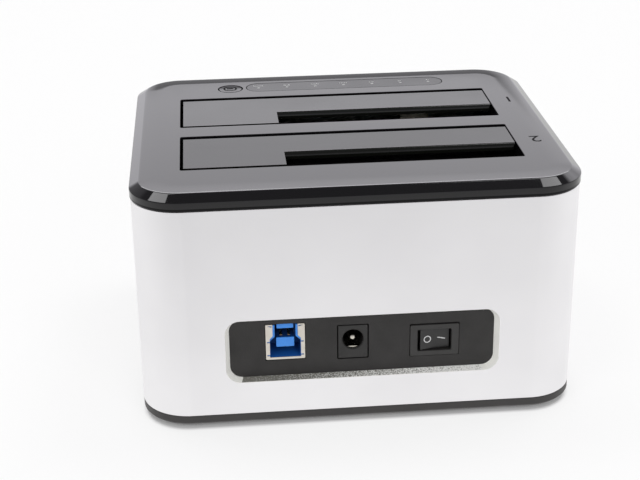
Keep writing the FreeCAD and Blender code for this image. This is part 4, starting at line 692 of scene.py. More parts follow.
@dataclass(frozen=True)
class Casing:
    """Sleeve, glossy cover and base with its feet; sizes in millimetres."""

    width: float = 134.5
    depth: float = 116.0
    corner: float = 15.0
    # Sleeve: wall, ends and eased rims, and the cut-out with its splayed walls.
    wall: float = 2.4
    sleeve_low: float = 4.7
    sleeve_top: float = 71.95
    ease: float = 0.15
    cutout: Pair = (80.6, 19.3)
    cutout_at: Pair = (0.2, 25.8)
    cutout_corner: float = 3.8
    cutout_splay: float = 1.0137
    splay_depth: float = 0.5
    cutout_walls: Profile = ((-1.7, -1.0), (-0.75, 0.0), (-0.65, 0.1), (0.0, 2.4), (0.0, 3.4))
    # Torn face of the cut-out, which gets the painted glints and shade: half its span, its place under the
    # middle and its depth in the wall.
    torn: tuple[float, float, float] = (1.0, 9.0, 0.06)
    # Cover: its profile as inset and height, where hem, bend and rim count from the sleeve's top, from
    # the crease and from the cover's top.
    proud: float = 0.3
    plate: float = 75.0
    crease: float = 74.9
    top: float = 76.98
    inner: float = 4.5
    lap: float = 2.9
    lap_low: float = 67.95
    hem: Profile = ((0.5, 0.0), (0.24, 0.06), (0.08, 0.26), (0.02, 0.6), (0.0, 0.95))
    bend: Profile = ((0.0, -0.4), (0.02, -0.2), (0.08, -0.06), (0.2, 0.04))
    rim: Profile = ((2.8, -0.46), (2.94, -0.395), (3.08, -0.344), (3.26, -0.309), (3.46, -0.281))
    crown: Pair = (3.66, 9.4)
    crown_drop: float = 0.26
    crown_steps: int = 8
    # Slots: places of their near walls, and how far their mouths are eased to the front and back.
    slots: Pair = (1.9, -37.0)
    slot_end: float = 52.03
    slot_left: float = 0.32
    slot_depth: float = 29.2
    slot_corner: float = 0.6
    slot_eased: tuple[Pair, Pair] = ((0.0, 0.5), (0.3, 0.6))
    slot_mouth: Profile = (
        (0.0, -16.98), (0.0, -0.2), (-0.03, -0.1), (-0.12, 0.0), (-0.14, 0.02), (-0.14, 1.02)
    )
    # Under the cover: guide walls, hinge ears, bosses and posts.
    roof: float = 75.02
    guide_wall: float = 1.6
    guide_low: float = 68.2
    axis: Pair = (32.0, 72.4)
    ears: tuple[float, ...] = (-43.3, -7.0, 7.0, 43.3)
    ear_radius: float = 2.4
    ear_half: float = 1.0
    ear_edge: float = 0.15
    boss_x: float = 58.63
    boss_low: float = 64.0
    boss_radius: float = 2.8
    post: Pair = (56.63, 47.38)
    post_joint: float = 44.0
    post_radius: float = 4.0
    post_edge: float = 0.3
    board_post: tuple[float, float, float] = (41.2, 47.3, 69.5)
    board_post_radius: float = 2.4
    wall_edge: float = 0.2
    # Base: outer profile as inset and height, ribs, supports (radius, height) on its floor, and feet.
    tray: Profile = (
        (0.95, 1.5), (0.82, 1.55), (0.06, 2.34), (0.0, 2.5), (0.0, 4.58), (0.12, 4.7), (2.6, 4.7),
        (2.6, 8.7), (4.2, 8.7), (4.2, 3.7)
    )
    floor: float = 3.6
    rib_top: float = 5.7
    rib_half: float = 0.7
    support: Pair = (2.5, 16.0)
    ribs_across: tuple[float, ...] = (-36.0, -5.2, 40.0)
    ribs_along: tuple[float, ...] = (-14.0, 14.0, 42.0)
    rib_reach: Pair = (62.0, 53.0)
    foot: Profile = (
        (0.0, 0.15), (1.6, 0.0), (4.3, 0.0), (4.7, 0.1), (4.92, 0.35), (5.0, 0.7), (5.0, 1.5), (0.0, 1.5)
    )

    def build(self) -> None:
        """Builds and dresses the whole casing."""
        self.sleeve()
        self.cover()
        self.underside()
        self.base()
        self.feet()

    def sleeve(self) -> None:
        """Extruded sleeve with eased rims and the milled cut-out."""
        low, top, wall, ease = self.sleeve_low, self.sleeve_top, self.wall, self.ease
        levels = [
            (ease, low), (0.0, low + ease), (0.0, top - ease), (ease, top),
            (wall - ease, top), (wall, top - ease), (wall, low + ease), (wall - ease, low),
        ]
        shell = Draft().loft((self.width, self.depth), self.corner, levels, steps=24, closed=True)
        face = -self.depth / 2
        walls = lifted(self.cutout_walls, face)
        cutter = Draft().loft(self.cutout, self.cutout_corner, walls, self.cutout_at, 10, Along.Y)
        for vert in cutter.bm.verts:
            if vert.co.y < face + self.splay_depth:
                vert.co.x *= self.cutout_splay
        span, under, start = self.torn
        # Every cut face takes the painted highlight of the filed finish, and the torn lower face the painted
        # glints and shade.
        for side in cutter.bm.faces:
            middle = side.calc_center_median()
            lower = abs(middle.x) < span and middle.z < self.cutout_at[1] - under
            side.material_index = 2 if lower and middle.y > face + start else 1
        shell.carve(cutter).piece("sleeve_shell", [ALUMINIUM, FILED_PAINTED_HIGHLIGHT, TORN_PAINTED_GLINTS], ["sleeve"])

    def cover(self) -> None:
        """Glossy cover with its band, crease, facet and crown, cut for slots, window and button."""
        size = (self.width + 2 * self.proud, self.depth + 2 * self.proud)
        levels = [
            (self.inner, self.plate), (self.inner, self.lap_low), (self.lap, self.lap_low),
            (self.lap, self.sleeve_top),
        ]
        levels += lifted(self.hem, self.sleeve_top) + lifted(self.bend, self.crease)
        levels += lifted(self.rim, self.top)
        edge, inner = self.crown
        for step in range(self.crown_steps + 1):
            left = 1 - step / self.crown_steps
            levels.append((inner - (inner - edge) * left, self.top - self.crown_drop * left ** 2))
        shell = Draft().loft(size, self.corner + self.proud, levels, steps=28)
        tools = []
        for near, (front, back) in zip(self.slots, self.slot_eased):
            size = (2 * self.slot_end + self.slot_left, self.slot_depth + front + back)
            centre = (-self.slot_left / 2, near + (self.slot_depth + back - front) / 2)
            mouth = lifted(self.slot_mouth, self.top)
            tools.append(Draft().loft(size, self.slot_corner, mouth, centre, 3))
        lights = Indicators()
        for opening in (lights.recess, lights.room):
            corner = lights.window[1] / 2 - 0.01
            tools.append(Draft().loft(lights.window, corner, opening, lights.window_at, 24))
        tools.append(Draft().lathe(lights.well, (*lights.button_at, 0.0), steps=48))
        shell.carve(*tools)
        # The hem's downward faces take the darker copy of the gloss, a painted dark reflection.
        hem_top = self.sleeve_top + self.hem[-1][1]
        for side in shell.bm.faces:
            height = side.calc_center_median().z
            if self.sleeve_top - 0.01 < height < hem_top and side.normal.z < 0.1:
                side.material_index = 1
        shell.piece("cover_shell", [GLOSS, HEM_PAINTED_DARK], ["top_cover"])

    def underside(self) -> None:
        """Guide walls, hinge ears, bosses and posts under the cover."""
        draft = Draft()
        wall, low, roof, end = self.guide_wall, self.guide_low, self.roof, self.slot_end
        for near in self.slots:
            far = near + self.slot_depth
            draft.block((-end - wall, near - wall, low), (end + wall, near, roof), self.wall_edge)
            for side in SIDES:
                x = side * (end + wall / 2) - (self.slot_left if side < 0 else 0.0)
                draft.block((x - wall / 2, near, low), (x + wall / 2, far, roof), self.wall_edge)
                centre = (side * self.boss_x, (near + far) / 2, self.boss_low)
                draft.rod(centre, self.boss_radius, roof - self.boss_low)
            outline = self.ear(near + self.axis[0])
            for x in self.ears:
                draft.slab(outline, x - self.ear_half, x + self.ear_half, Along.X, self.ear_edge)
        length = self.plate - self.post_joint
        for x, y in self.posts():
            draft.rod((x, y, self.post_joint), self.post_radius, length, edge=self.post_edge)
        x, y, post_low = self.board_post
        for side in SIDES:
            draft.rod((side * x, y, post_low), self.board_post_radius, roof - post_low)
        draft.piece("cover_underside", [GLOSS])

    def ear(self, y: float) -> list[Pair]:
        """Outlines one hinge ear.

        Args:
            y: Place of the hinge axis along Y.

        Returns:
            The outline's points, as Y and Z.
        """
        radius = self.ear_radius
        round_end = arc((y, self.axis[1]), radius, 0.0, -180.0)
        return [(y + radius, self.roof), *round_end, (y - radius, self.roof)]

    def posts(self) -> list[Pair]:
        """Returns the middles of the four corner posts."""
        x, y = self.post
        return [(sx * x, sy * y) for sx in SIDES for sy in SIDES]

    def base(self) -> None:
        """Moulded tray with its bevelled lower edge, and the board's supports."""
        draft = Draft().loft((self.width, self.depth), self.corner, self.tray, steps=24)
        draft.piece("base_tray", [BASE_ABS], ["base"])
        inside = Draft()
        low, top, half = self.floor, self.rib_top, self.rib_half
        reach_x, reach_y = self.rib_reach
        radius, tall = self.support
        for x in self.ribs_across:
            inside.block((x - half, -reach_y, low), (x + half, reach_y, top), self.wall_edge)
            for y in self.ribs_along:
                inside.rod((x, y, low), radius, tall, steps=24)
        for y in self.ribs_along:
            inside.block((-reach_x, y - half, low), (reach_x, y + half, top), self.wall_edge)
        for x, y in self.posts():
            inside.rod((x, y, low), self.post_radius, self.post_joint - low, edge=self.post_edge)
        inside.piece("base_supports", [BASE_ABS])

    def feet(self) -> None:
        """Round rubber feet with a rolled lower edge."""
        draft = Draft()
        for x, y in self.posts():
            draft.lathe(self.foot, (x, y, 0.0), steps=48)
        draft.piece("foot_pads", [RUBBER], ["rubber_feet"])


@dataclass(frozen=True)
class Flap:
    """One spring-loaded slot flap with its pin and spring; sizes in millimetres."""

    letter: str
    near: float
    finish: Finish
    slot_depth: float = 29.2
    top: float = 76.92
    low: float = 74.7
    left: float = -51.42
    right: float = 51.58
    notch: float = -20.42
    step: float = 11.5
    near_gap: float = 1.35
    far_gap: float = 1.15
    axis_z: float = 72.4
    setback: float = 2.8
    roll_radius: float = 1.5
    corner_round: float = 1.0
    far_round: float = 0.7
    arm: float = 38.0
    arm_half: float = 4.0
    arm_root: float = 2.2
    arm_lift: float = 0.1
    neck: Pair = (-1.7, 0.5)
    barrel: Profile = ((1.06, 0.0), (1.7, 0.0), (1.7, 8.0), (1.06, 8.0), (1.06, 0.0))
    pin_reach: float = 45.1
    pin_radius: float = 1.0
    pin_dome: float = 0.3
    coil: float = 1.85
    wire: float = 0.3
    wire_edge: float = 0.1
    wire_steps: int = 10
    turns: int = 10
    steps_in_turn: int = 24
    leg: float = 5.1

    def build(self) -> None:
        """Builds and dresses the flap, its pin and its spring."""
        self.plate()
        self.pin()
        self.spring()

    def axis_y(self) -> float:
        """Returns the hinge axis's place along Y."""
        return self.near + self.slot_depth + self.setback

    def plate(self) -> None:
        """L-shaped plate, rolled over the open mouth, with goose-neck arms and barrels."""
        near, step = self.near + self.near_gap, self.near + self.step
        far = self.near + self.slot_depth - self.far_gap
        plate = Draft().slab([
            (self.left, near), (self.notch, near), (self.notch, step), (self.right, step),
            (self.right, far), (self.left, far),
        ], self.low, self.top)
        plate.soften(self.corner_round, lambda at: abs(at.x - self.right) < 0.01 and at.y < step + 0.01)
        plate.soften(self.far_round, lambda at: at.y > far - 0.01 and at.z > self.top - 0.01)
        plate.carve(self.roll(step))
        y, z, low, root = self.axis_y(), self.axis_z, self.low + self.arm_lift, far - self.arm_root
        under, over = [z + height for height in self.neck]
        neck = [(root, low), (root, under), (y, under), (y, over), (far, over), (far, low)]
        for middle in (-self.arm, self.arm):
            plate.slab(neck, middle - self.arm_half, middle + self.arm_half, Along.X)
            plate.lathe(self.barrel, (middle - self.arm_half, y, z), Along.X, 24)
        name = f"flap_{self.letter}"
        plate.piece(name + "_panel", [self.finish], [name], name + "_body", edge=0.25, steps=3)

    def roll(self, step: float) -> Draft:
        """Draws what is taken off to round the edge over the open mouth.

        Args:
            step: Place of that edge along Y.

        Returns:
            The cutting shape.
        """
        radius = self.roll_radius
        over = self.top + 1.0
        outline = [(step - 1.0, self.top - radius), (step - 1.0, over), (step + radius, over)]
        outline += arc((step + radius, self.top - radius), radius, 90.0, 180.0)
        return Draft().slab(outline, self.notch, self.right + 2.0, Along.X)

    def pin(self) -> None:
        """Ground pin with domed ends."""
        reach, start = self.pin_reach, (-self.pin_reach, self.axis_y(), self.axis_z)
        draft = Draft().rod(start, self.pin_radius, 2 * reach, Along.X, self.pin_dome, 24)
        draft.piece(f"flap_{self.letter}_hinge_pin", [PIN_STEEL], [f"flap_pin_{self.letter}"])

    def spring(self) -> None:
        """Wound torsion spring with a leg each way."""
        y, z = self.axis_y(), self.axis_z
        wire, turns, steps = self.wire, self.turns - 1, self.steps_in_turn
        start = wire * turns
        upright = Matrix.Rotation(math.pi / 2, 4, "X")
        draft = Draft()
        ring = bmesh.ops.create_circle(draft.bm, segments=self.wire_steps, radius=wire)["verts"]
        draft.place(Matrix.Translation((self.coil, 0, -start)) @ upright, ring)
        edges = list({edge for vert in ring for edge in vert.link_edges})
        bmesh.ops.spin(
            draft.bm, geom=ring + edges, cent=(0, 0, 0), axis=(0, 0, 1), angle=2 * math.pi * turns,
            dvec=(0, 0, 2 * wire / steps), steps=steps * turns, use_merge=False,
        )
        bmesh.ops.holes_fill(draft.bm, edges=[edge for edge in draft.bm.edges if edge.is_boundary])
        draft.place(Matrix.Translation((0, y, z)) @ upright @ Along.X.value)
        for x, root in ((-start, y - self.leg), (start, y)):
            draft.rod((x, root, z + self.coil), wire, self.leg, Along.Y, self.wire_edge, 12)
        draft.piece(f"flap_{self.letter}_coil", [SPRING_STEEL], [f"flap_spring_{self.letter}"], sharp=60.0)


@dataclass(frozen=True)
class Indicators:
    """Window over the row of lights, its captions, and the round button; sizes in millimetres."""

    face: float = 76.98
    window: Pair = (69.4, 9.6)
    window_at: Pair = (5.15, 42.3)
    recess: Profile = ((0.0, 75.8), (0.0, 76.93), (-0.1, 77.03))
    room: Profile = ((1.0, 74.0), (1.0, 76.5))
    pane_levels: Profile = ((0.2, 75.8), (0.2, 76.83), (0.25, 76.94), (0.4, 76.98))
    first: float = -25.2
    pitch: float = 10.0
    row: float = 41.7
    dot: float = 0.55
    dot_edge: float = 0.003
    printed: float = 0.01
    marks: tuple[int, ...] = (6, 4, 5, 5, 3, 2, 2)
    mark_pitch: float = 0.6
    mark_half: float = 0.2
    mark_low: float = 1.6
    mark_short: float = 0.8
    mark_tall: float = 1.0
    button_at: Pair = (-35.0, 41.7)
    well: Profile = ((0.0, 74.0), (4.36, 74.0), (4.36, 76.88), (4.46, 77.1), (0.0, 77.1))
    sign: Pair = (4.7, 4.6)
    sign_corner: float = 2.0
    sign_shift: Pair = (-0.1, 0.2)
    sign_bar: tuple[Pair, Pair] = ((-1.2, -0.4), (1.0, 0.8))
    sign_line: float = 0.65
    sign_relief: float = 0.012
    cap: Profile = (
        (0.0, 73.9), (5.2, 73.9), (5.2, 74.65), (3.98, 74.65), (3.98, 76.68), (3.9, 76.88),
        (3.68, 76.98), (0.0, 76.98)
    )

    def build(self) -> None:
        """Builds and dresses the window, its prints and the button."""
        self.pane()
        self.button()

    def pane(self) -> None:
        """Smoked pane with a polished edge, the dots over the lights and the captions."""
        pane = Draft().loft(self.window, self.window[1] / 2 - 0.02, self.pane_levels, self.window_at, 24)
        pane.piece("indicator_window", [SMOKE], ["led_window"])
        dots, captions = Draft(), Draft()
        low, high = self.face - self.printed, self.face + self.printed
        foot = self.row + self.mark_low
        for index, marks in enumerate(self.marks):
            x = self.first + index * self.pitch
            dots.rod((x, self.row, low), self.dot, high - low, edge=self.dot_edge, steps=24)
            for mark in range(marks):
                at = x + self.mark_pitch * (mark - (marks - 1) / 2)
                tall = self.mark_short if mark % 3 else self.mark_tall
                captions.block((at - self.mark_half, foot, low), (at + self.mark_half, foot + tall, high))
        dots.piece("indicator_dots", [GREY_INK])
        captions.piece("indicator_captions", [GREY_INK])

    def button(self) -> None:
        """Round cap with a flange, a softened rim and a printed sign."""
        x, y = self.button_at
        body = "clone_button_body"
        cap = Draft().lathe(self.cap, (x, y, 0.0), steps=64)
        cap.piece("button_cap", [BUTTON_GLOSS], ["clone_button"], body)
        low, high, line = self.face - self.printed, self.face + self.sign_relief, self.sign_line
        levels = [(0.0, low), (0.0, high), (line, high), (line, low)]
        centre = (x + self.sign_shift[0], y + self.sign_shift[1])
        sign = Draft().loft(self.sign, self.sign_corner, levels, centre, 12, closed=True)
        (left, front), (right, back) = self.sign_bar
        sign.block((x + left, y + front, low), (x + right, y + back, high))
        sign.piece("button_sign", [DARK_INK], body=body)


@dataclass(frozen=True)
class Ports:
    """Rear panel with the USB socket, the power inlet and the rocker switch; sizes in millimetres.

    The depths of all profiles count from the panel's face backwards, along Y.
    """

    panel: float = -55.6
    plate_box: tuple[Point, Point] = ((-45.3, -55.6, 8.7), (45.3, -53.6, 40.6))
    through: Profile = ((0.0, -1.0), (0.0, 3.0))
    stepped: Profile = ((0.0, -1.0), (0.0, 0.8), (1.5, 0.8), (1.5, 3.0))
    # USB socket: its shell; the cuts of its mouth, lip (drop, reach, rise), notches and folds (inside,
    # outside, upper, lower); the right halves of the outlines of mouth and cavity; its tongues as half
    # width, low and high; its contacts as start, thickness and easing, then as number, pitch, width
    # and height over the shell's floor.
    usb_x: float = -23.2
    usb_z: float = 27.4
    usb: Pair = (12.0, 11.9)
    usb_shell: Profile = ((0.1, 0.0), (0.0, 0.1), (0.0, 16.6))
    usb_wall: float = 0.35
    usb_skin: float = 0.36
    usb_cut: Pair = (-1.0, 0.6)
    usb_hollow: float = 20.0
    usb_lip: tuple[float, float, float] = (0.6, 1.2, 1.0)
    usb_notch: Pair = (-0.1, 0.85)
    usb_fold: tuple[float, float, float, float] = (0.25, 0.55, 0.5, 0.95)
    usb_mouth: Profile = ((4.7, 0.8), (4.7, 7.0), (3.8, 8.0), (3.8, 11.5))
    usb_notches: Pair = (1.3, 5.75)
    usb_cavity: Profile = ((4.62, 0.82), (4.62, 6.2), (3.15, 7.6), (3.15, 12.4))
    usb_back: float = 15.6
    usb_room: float = 9.0
    # How deep the insulator's front faces get the painted light of the lighter blue; then the tongues' inset,
    # and how deep their ends get that painted light before the painted shade of the darker blue.
    usb_painted_light_front: float = 0.05
    usb_tip_and_painted_light: Pair = (0.4, 0.3)
    usb_root: float = 0.2
    usb_round: float = 0.25
    usb_strip: tuple[float, float, float] = (2.2, 0.25, 0.05)
    usb_tongues: tuple[tuple[float, float, float], ...] = ((2.75, 3.9, 7.1), (2.55, 10.1, 11.7))
    usb_strips: tuple[tuple[int, float, float, float], ...] = (
        (2, 2.4, 0.8, 3.68), (2, 2.4, 0.8, 7.08), (5, 0.95, 0.4, 9.88)
    )
    # Power inlet: body, bore, pin, and the spring leaf as a segment of the bore, its angles in degrees.
    jack_x: float = -2.7
    jack_z: float = 26.3
    bore_z: float = 27.1
    jack: Pair = (9.0, 11.0)
    jack_body: Profile = ((0.12, 0.0), (0.0, 0.12), (0.0, 1.6), (0.4, 1.6), (0.4, 14.2))
    bore: Profile = ((0.0, -1.0), (4.45, -1.0), (3.15, 0.3), (3.15, 9.5), (0.0, 9.5))
    pin: Profile = ((0.0, 1.0), (0.45, 1.05), (0.8, 1.25), (0.97, 1.6), (1.0, 2.0), (1.0, 9.5), (0.0, 9.5))
    leaf_radius: float = 3.1
    leaf_thickness: float = 0.1
    leaf_arc: Pair = (-136.0, -44.0)
    leaf_level: float = -2.62
    leaf_ends: Pair = (0.7, 7.0)
    # Switch: bezel and its opening, then the rocker's half width, face, dish and tilt at rest in degrees.
    switch_x: float = 22.3
    switch_z: float = 25.4
    bezel: Pair = (15.0, 10.5)
    bezel_body: Profile = ((0.2, 0.0), (0.05, 0.06), (0.0, 0.2), (0.0, 0.8), (1.4, 0.8), (1.4, 11.5))
    opening: Pair = (10.4, 7.1)
    opening_walls: Profile = ((-0.15, -0.5), (-0.15, 0.0), (0.0, 0.15), (0.0, 5.0))
    rocker: float = 4.55
    face: float = -1.2
    slope: float = 3.0
    flank: Pair = (0.5, 0.62)
    play: float = 0.2
    axle: Pair = (0.8, 4.2)
    axle_edge: float = 0.1
    key_back: Profile = ((1.0, 0.4), (0.6, 2.2), (0.3, 2.6))
    pivot: float = 2.072
    tilt: float = 8.0
    # Signs on the rocker: the ring's section, the bar's corners, and for each its middle along the
    # rocker, the share of the dish there and how deep it is sunk.
    ring: Profile = ((0.88, 0.0), (1.18, 0.0), (1.18, 0.03), (0.88, 0.03), (0.88, 0.0))
    bar: tuple[Point, Point] = ((-1.25, -0.03, -0.16), (1.25, 0.0, 0.16))
    bar_turn: float = 14.0
    signs_at: tuple[Point, Point] = ((-2.3, 0.5, 0.05), (2.1, 0.53, 0.02))

    def build(self) -> None:
        """Builds and dresses the panel and everything in it."""
        self.plate()
        self.usb_socket()
        self.inlet()
        self.switch()

    def sunk(self, size: Point, corner: float, levels: Profile, centre: Point, steps: int = 4) -> Draft:
        """Returns a loft along Y whose levels count from the panel's face."""
        return Draft().loft(size, corner, lifted(levels, self.panel), centre, steps, Along.Y)

    def plate(self) -> None:
        """Panel behind the cut-out, with its windows."""
        windows = [
            (self.usb, 0.3, 0.3, self.through, (self.usb_x, self.usb_z)),
            (self.jack, 0.64, 0.6, self.through, (self.jack_x, self.jack_z)),
            (self.bezel, 0.3, 0.6, self.stepped, (self.switch_x - 0.06, self.switch_z + 0.27)),
        ]
        tools = [
            self.sunk((size[0] + wider, size[1] + higher), 0.4, levels, at)
            for size, wider, higher, levels, at in windows
        ]
        plate = Draft().block(*self.plate_box).carve(*tools)
        plate.piece("port_panel", [PANEL_ABS], ["rear_panel"], edge=0.12)

    def usb_socket(self) -> None:
        """Folded shell with its wings, blue insulator with its stepped mouth, tongues and contacts."""
        home = Matrix.Translation((self.usb_x, self.panel, self.usb_z - self.usb[1] / 2))
        self.usb_folded().place(home).piece("usb_shell_folded", [TINPLATE], ["usb_shell"], edge=0.05)
        (half, top), face = (self.usb[0] / 2, self.usb[1]), self.usb_skin
        body = Draft().block((face - half, face, face), (half - face, self.usb_back, top - face))
        body.carve(Draft().slab(mirrored(self.usb_cavity), self.usb_cut[0], face + self.usb_room, Along.Y))
        # The insulator's front faces get the painted light, the rest its plain blue.
        for side in body.bm.faces:
            side.material_index = int(side.calc_center_median().y < face + self.usb_painted_light_front)
        body.place(home)
        body.piece("usb_insulator_moulded", [PORT_BLUE, BLUE_PAINTED_LIGHT], ["usb_insulator"], edge=0.12)
        tongues = Draft()
        inset, bright = self.usb_tip_and_painted_light
        tip, root = face + inset, face + self.usb_room + self.usb_root
        for reach, low, high in self.usb_tongues:
            tongues.block((-reach, tip, low), (reach, root, high), self.usb_round)
        # The tongues' ends get the painted light, the rest the painted shade of the socket's depth.
        for side in tongues.bm.faces:
            side.material_index = int(side.calc_center_median().y > tip + bright)
        tongues.place(home).piece("usb_tongues", [BLUE_PAINTED_LIGHT, BLUE_PAINTED_SHADE])
        strips = Draft()
        start, thick, edge = self.usb_strip
        for count, pitch, width, level in self.usb_strips:
            for index in range(count):
                at = (index - (count - 1) / 2) * pitch
                low, high = (at - width / 2, start, level), (at + width / 2, self.usb_room, level + thick)
                strips.block(low, high, edge)
        strips.place(home).piece("usb_contact_strips", [GILT], ["usb_contacts"])

    def usb_folded(self) -> Draft:
        """Draws the USB socket's shell, cut for its mouth, its notches and the folds of its wings.

        Returns:
            The shell, from the socket's floor and the panel's face.
        """
        (half, top), wall = (self.usb[0] / 2, self.usb[1]), self.usb_wall
        low, high = self.usb_mouth[0][0], self.usb_mouth[-1][0]
        start, end = self.usb_cut
        drop, reach, over = self.usb_lip
        inside, outside, upper, lower = self.usb_fold
        tools = [
            Draft().block((wall - half, wall, wall), (half - wall, self.usb_hollow, top - wall)),
            Draft().slab(mirrored(self.usb_mouth), start, end, Along.Y),
            Draft().block((-high, start, top - drop), (high, reach, top + over)),
        ]
        for side in SIDES:
            for level in self.usb_notches:
                one, other = [side * (low + step) for step in self.usb_notch]
                tools.append(Draft().block((one, start, level), (other, end, level + wall)))
            inner, outer = side * (high + inside), side * (half - outside)
            fold = [(inner, top - upper), (outer, top - upper), (inner, top - lower)]
            tools.append(Draft().slab(fold, start, end, Along.Y))
        shell = Draft().loft(self.usb, 0.4, self.usb_shell, (0.0, top / 2), 4, Along.Y)
        return shell.carve(*tools)

    def inlet(self) -> None:
        """Power inlet: moulded body with a round bore, centre pin, spring leaf and terminals."""
        at = (self.jack_x, self.panel, self.bore_z)
        body = self.sunk(self.jack, 0.3, self.jack_body, (self.jack_x, self.jack_z))
        body.carve(Draft().lathe(self.bore, at, Along.Y, 48))
        body.piece("power_inlet_body", [JACK_PBT], ["jack_body"])
        pin = Draft().lathe(self.pin, at, Along.Y)
        pin.piece("power_inlet_pin", [NICKEL], ["jack_pin"], sharp=50.0)
        first, last = self.leaf_arc
        outer = arc((0.0, 0.0), self.leaf_radius, first, last)
        chord = arc((0.0, 0.0), self.leaf_radius - self.leaf_thickness, last, first)
        inner = [(x, self.leaf_level) for x, _ in chord]
        leaf = Draft().slab(outer + inner, *self.leaf_ends, Along.Y).place(Matrix.Translation(at))
        leaf.piece("power_inlet_leaf", [NICKEL])
        refine("jack_terminals", NICKEL, 0.05)

    def switch(self) -> None:
        """Rocker switch: bezel and body, dished rocker and its two signs."""
        at = (self.switch_x, self.switch_z)
        body = self.sunk(self.bezel, 0.5, self.bezel_body, at, 5)
        body.carve(self.sunk(self.opening, 0.3, self.opening_walls, at))
        body.piece("switch_body", [SWITCH_NYLON], ["switch_housing"])
        half, face, slope = self.rocker, self.face, math.radians(self.slope)
        dish = half * math.tan(slope)
        right = [(half * self.flank[0], face + dish * self.flank[1]), (half, face)]
        right += [(half * share, depth) for share, depth in self.key_back]
        outline = [(0.0, face + dish)] + mirrored(right)
        tall = self.opening[1] / 2 - self.play
        radius, reach = self.axle
        key = Draft().slab(outline, -tall, tall)
        key.rod((0.0, 0.0, -reach), radius, 2 * reach, edge=self.axle_edge, steps=24)
        ring_at, bar_at = [
            Matrix.Translation((x, face + dish * share - sunk, 0.0)) for x, share, sunk in self.signs_at
        ]
        ring = Draft().lathe(self.ring, (0.0, 0.0, 0.0), Along.Y, 40)
        ring.place(ring_at @ Matrix.Rotation(slope, 4, "Z"))
        leaning = Matrix.Rotation(-slope, 4, "Z") @ Matrix.Rotation(math.radians(self.bar_turn), 4, "Y")
        bar = Draft().block(*self.bar)
        bar.place(bar_at @ leaning)
        axis = (self.switch_x, self.panel + self.pivot, self.switch_z)
        turn = Matrix.Translation(axis) @ Matrix.Rotation(math.radians(self.tilt), 4, "Z")
        rides = "power_rocker_body"
        key.place(turn).piece("rocker_key", [ROCKER_NYLON], ["switch_rocker"], rides, edge=0.25, steps=3)
        ring.place(turn).piece("rocker_ring_sign", [WHITE_INK], body=rides)
        bar.place(turn).piece("rocker_bar_sign", [WHITE_INK], body=rides)


@dataclass(frozen=True)
class Marks:
    """Plain numbers printed beside the two slots; sizes in millimetres."""

    places: tuple[tuple[str, float, float], ...] = (("1", 58.6, 18.2), ("2", 58.6, -22.3))
    height: float = 5.2
    top: float = 76.98
    ink: float = 0.015

    def build(self) -> None:
        """Prints both numbers, which read from the far side."""
        for digit, x, y in self.places:
            curve = bpy.data.curves.new("digit", "FONT")
            curve.body = digit
            curve.size = 1.0
            curve.align_x = "CENTER"
            written = put("digit", curve)
            graph = bpy.context.evaluated_depsgraph_get()
            draft = Draft()
            draft.bm.from_mesh(bpy.data.meshes.new_from_object(written.evaluated_get(graph)))
            bpy.data.objects.remove(written)
            size = self.height / max(vert.co.y for vert in draft.bm.verts)
            turn = Matrix.Translation((x, y, self.top)) @ Matrix.Rotation(math.pi, 4, "Z")
            centre = Matrix.Translation((0.0, -self.height / 2, 0.0)) @ Matrix.Scale(size, 4)
            draft.place(turn @ centre)
            draft.thicken(draft.bm.faces, self.ink)
            draft.piece(f"slot_number_{digit}", [DARK_INK])


@dataclass(frozen=True)
class Inside:
    """What the casing holds: cage, drive sockets, boards and their components."""

    eased: tuple[tuple[str, Finish, float], ...] = (
        ("drive_cage", CAGE_ABS, 0.25),
        ("sata_socket_a", SOCKET_NYLON, 0.12),
        ("sata_socket_b", SOCKET_NYLON, 0.12),
        ("sata_contacts_a", GILT, 0.05),
        ("sata_contacts_b", GILT, 0.05),
        ("main_board", BOARD, 0.1),
        ("bridge_chip", EPOXY, 0.05),
        ("small_chips", EPOXY, 0.05),
        ("capacitors", CAN, 0.2),
        ("inductors", FERRITE, 0.2),
        ("crystal", CAN, 0.3),
        ("board_header", NYLON_WHITE, 0.15),
        ("indicator_plug", NYLON_WHITE, 0.15),
        ("indicator_board", BOARD, 0.1),
        ("indicator_leds", LAMP, 0.1),
        ("light_guide", ACRYLIC, 0.15),
        ("button_switch", SOCKET_NYLON, 0.1),
        ("indicator_cable", PVC, 0.1),
        ("switch_terminals", TINPLATE, 0.05),
    )
    kept: tuple[tuple[str, Finish], ...] = (
        ("case_screws", ZINC),
        ("cage_screws", ZINC),
        ("board_screws", ZINC),
        ("indicator_screws", ZINC),
        ("button_plunger", SOCKET_NYLON),
    )

    def build(self) -> None:
        """Eases and dresses the shapes that the frame already has right."""
        for node, finish, edge in self.eased:
            refine(node, finish, edge)
        for node, finish in self.kept:
            carry(node, finish)


@dataclass(frozen=True)
class Softbox:
    """A softbox that faces the object, seen from it at a bearing and a height; sizes in metres.

    The bearing counts from +X towards +Y, the height over the horizon, both in degrees. A face of
    level 1 is white. One that gloss doesn't mirror only lights the object.
    """

    name: str
    bearing: float
    height: float
    distance: float
    size: Pair
    level: float
    mirrored: bool = True

    def hang(self, tint: Point) -> None:
        """Hangs the softbox.

        Args:
            tint: Colour of its light.
        """
        light = bpy.data.lights.new(self.name, "AREA")
        light.shape = "RECTANGLE"
        light.size, light.size_y = self.size
        light.energy = self.level * math.pi * self.size[0] * self.size[1]
        light.color = tint
        lamp = put(self.name, light)
        lamp.visible_glossy = self.mirrored
        turn, lift = math.radians(self.bearing), math.radians(self.height)
        toward = Vector((math.cos(turn) * math.cos(lift), math.sin(turn) * math.cos(lift), math.sin(lift)))
        lamp.location = toward * self.distance + Vector((0.0, 0.0, AIM))
        lamp.rotation_euler = (-toward).to_track_quat("-Z", "Y").to_euler()


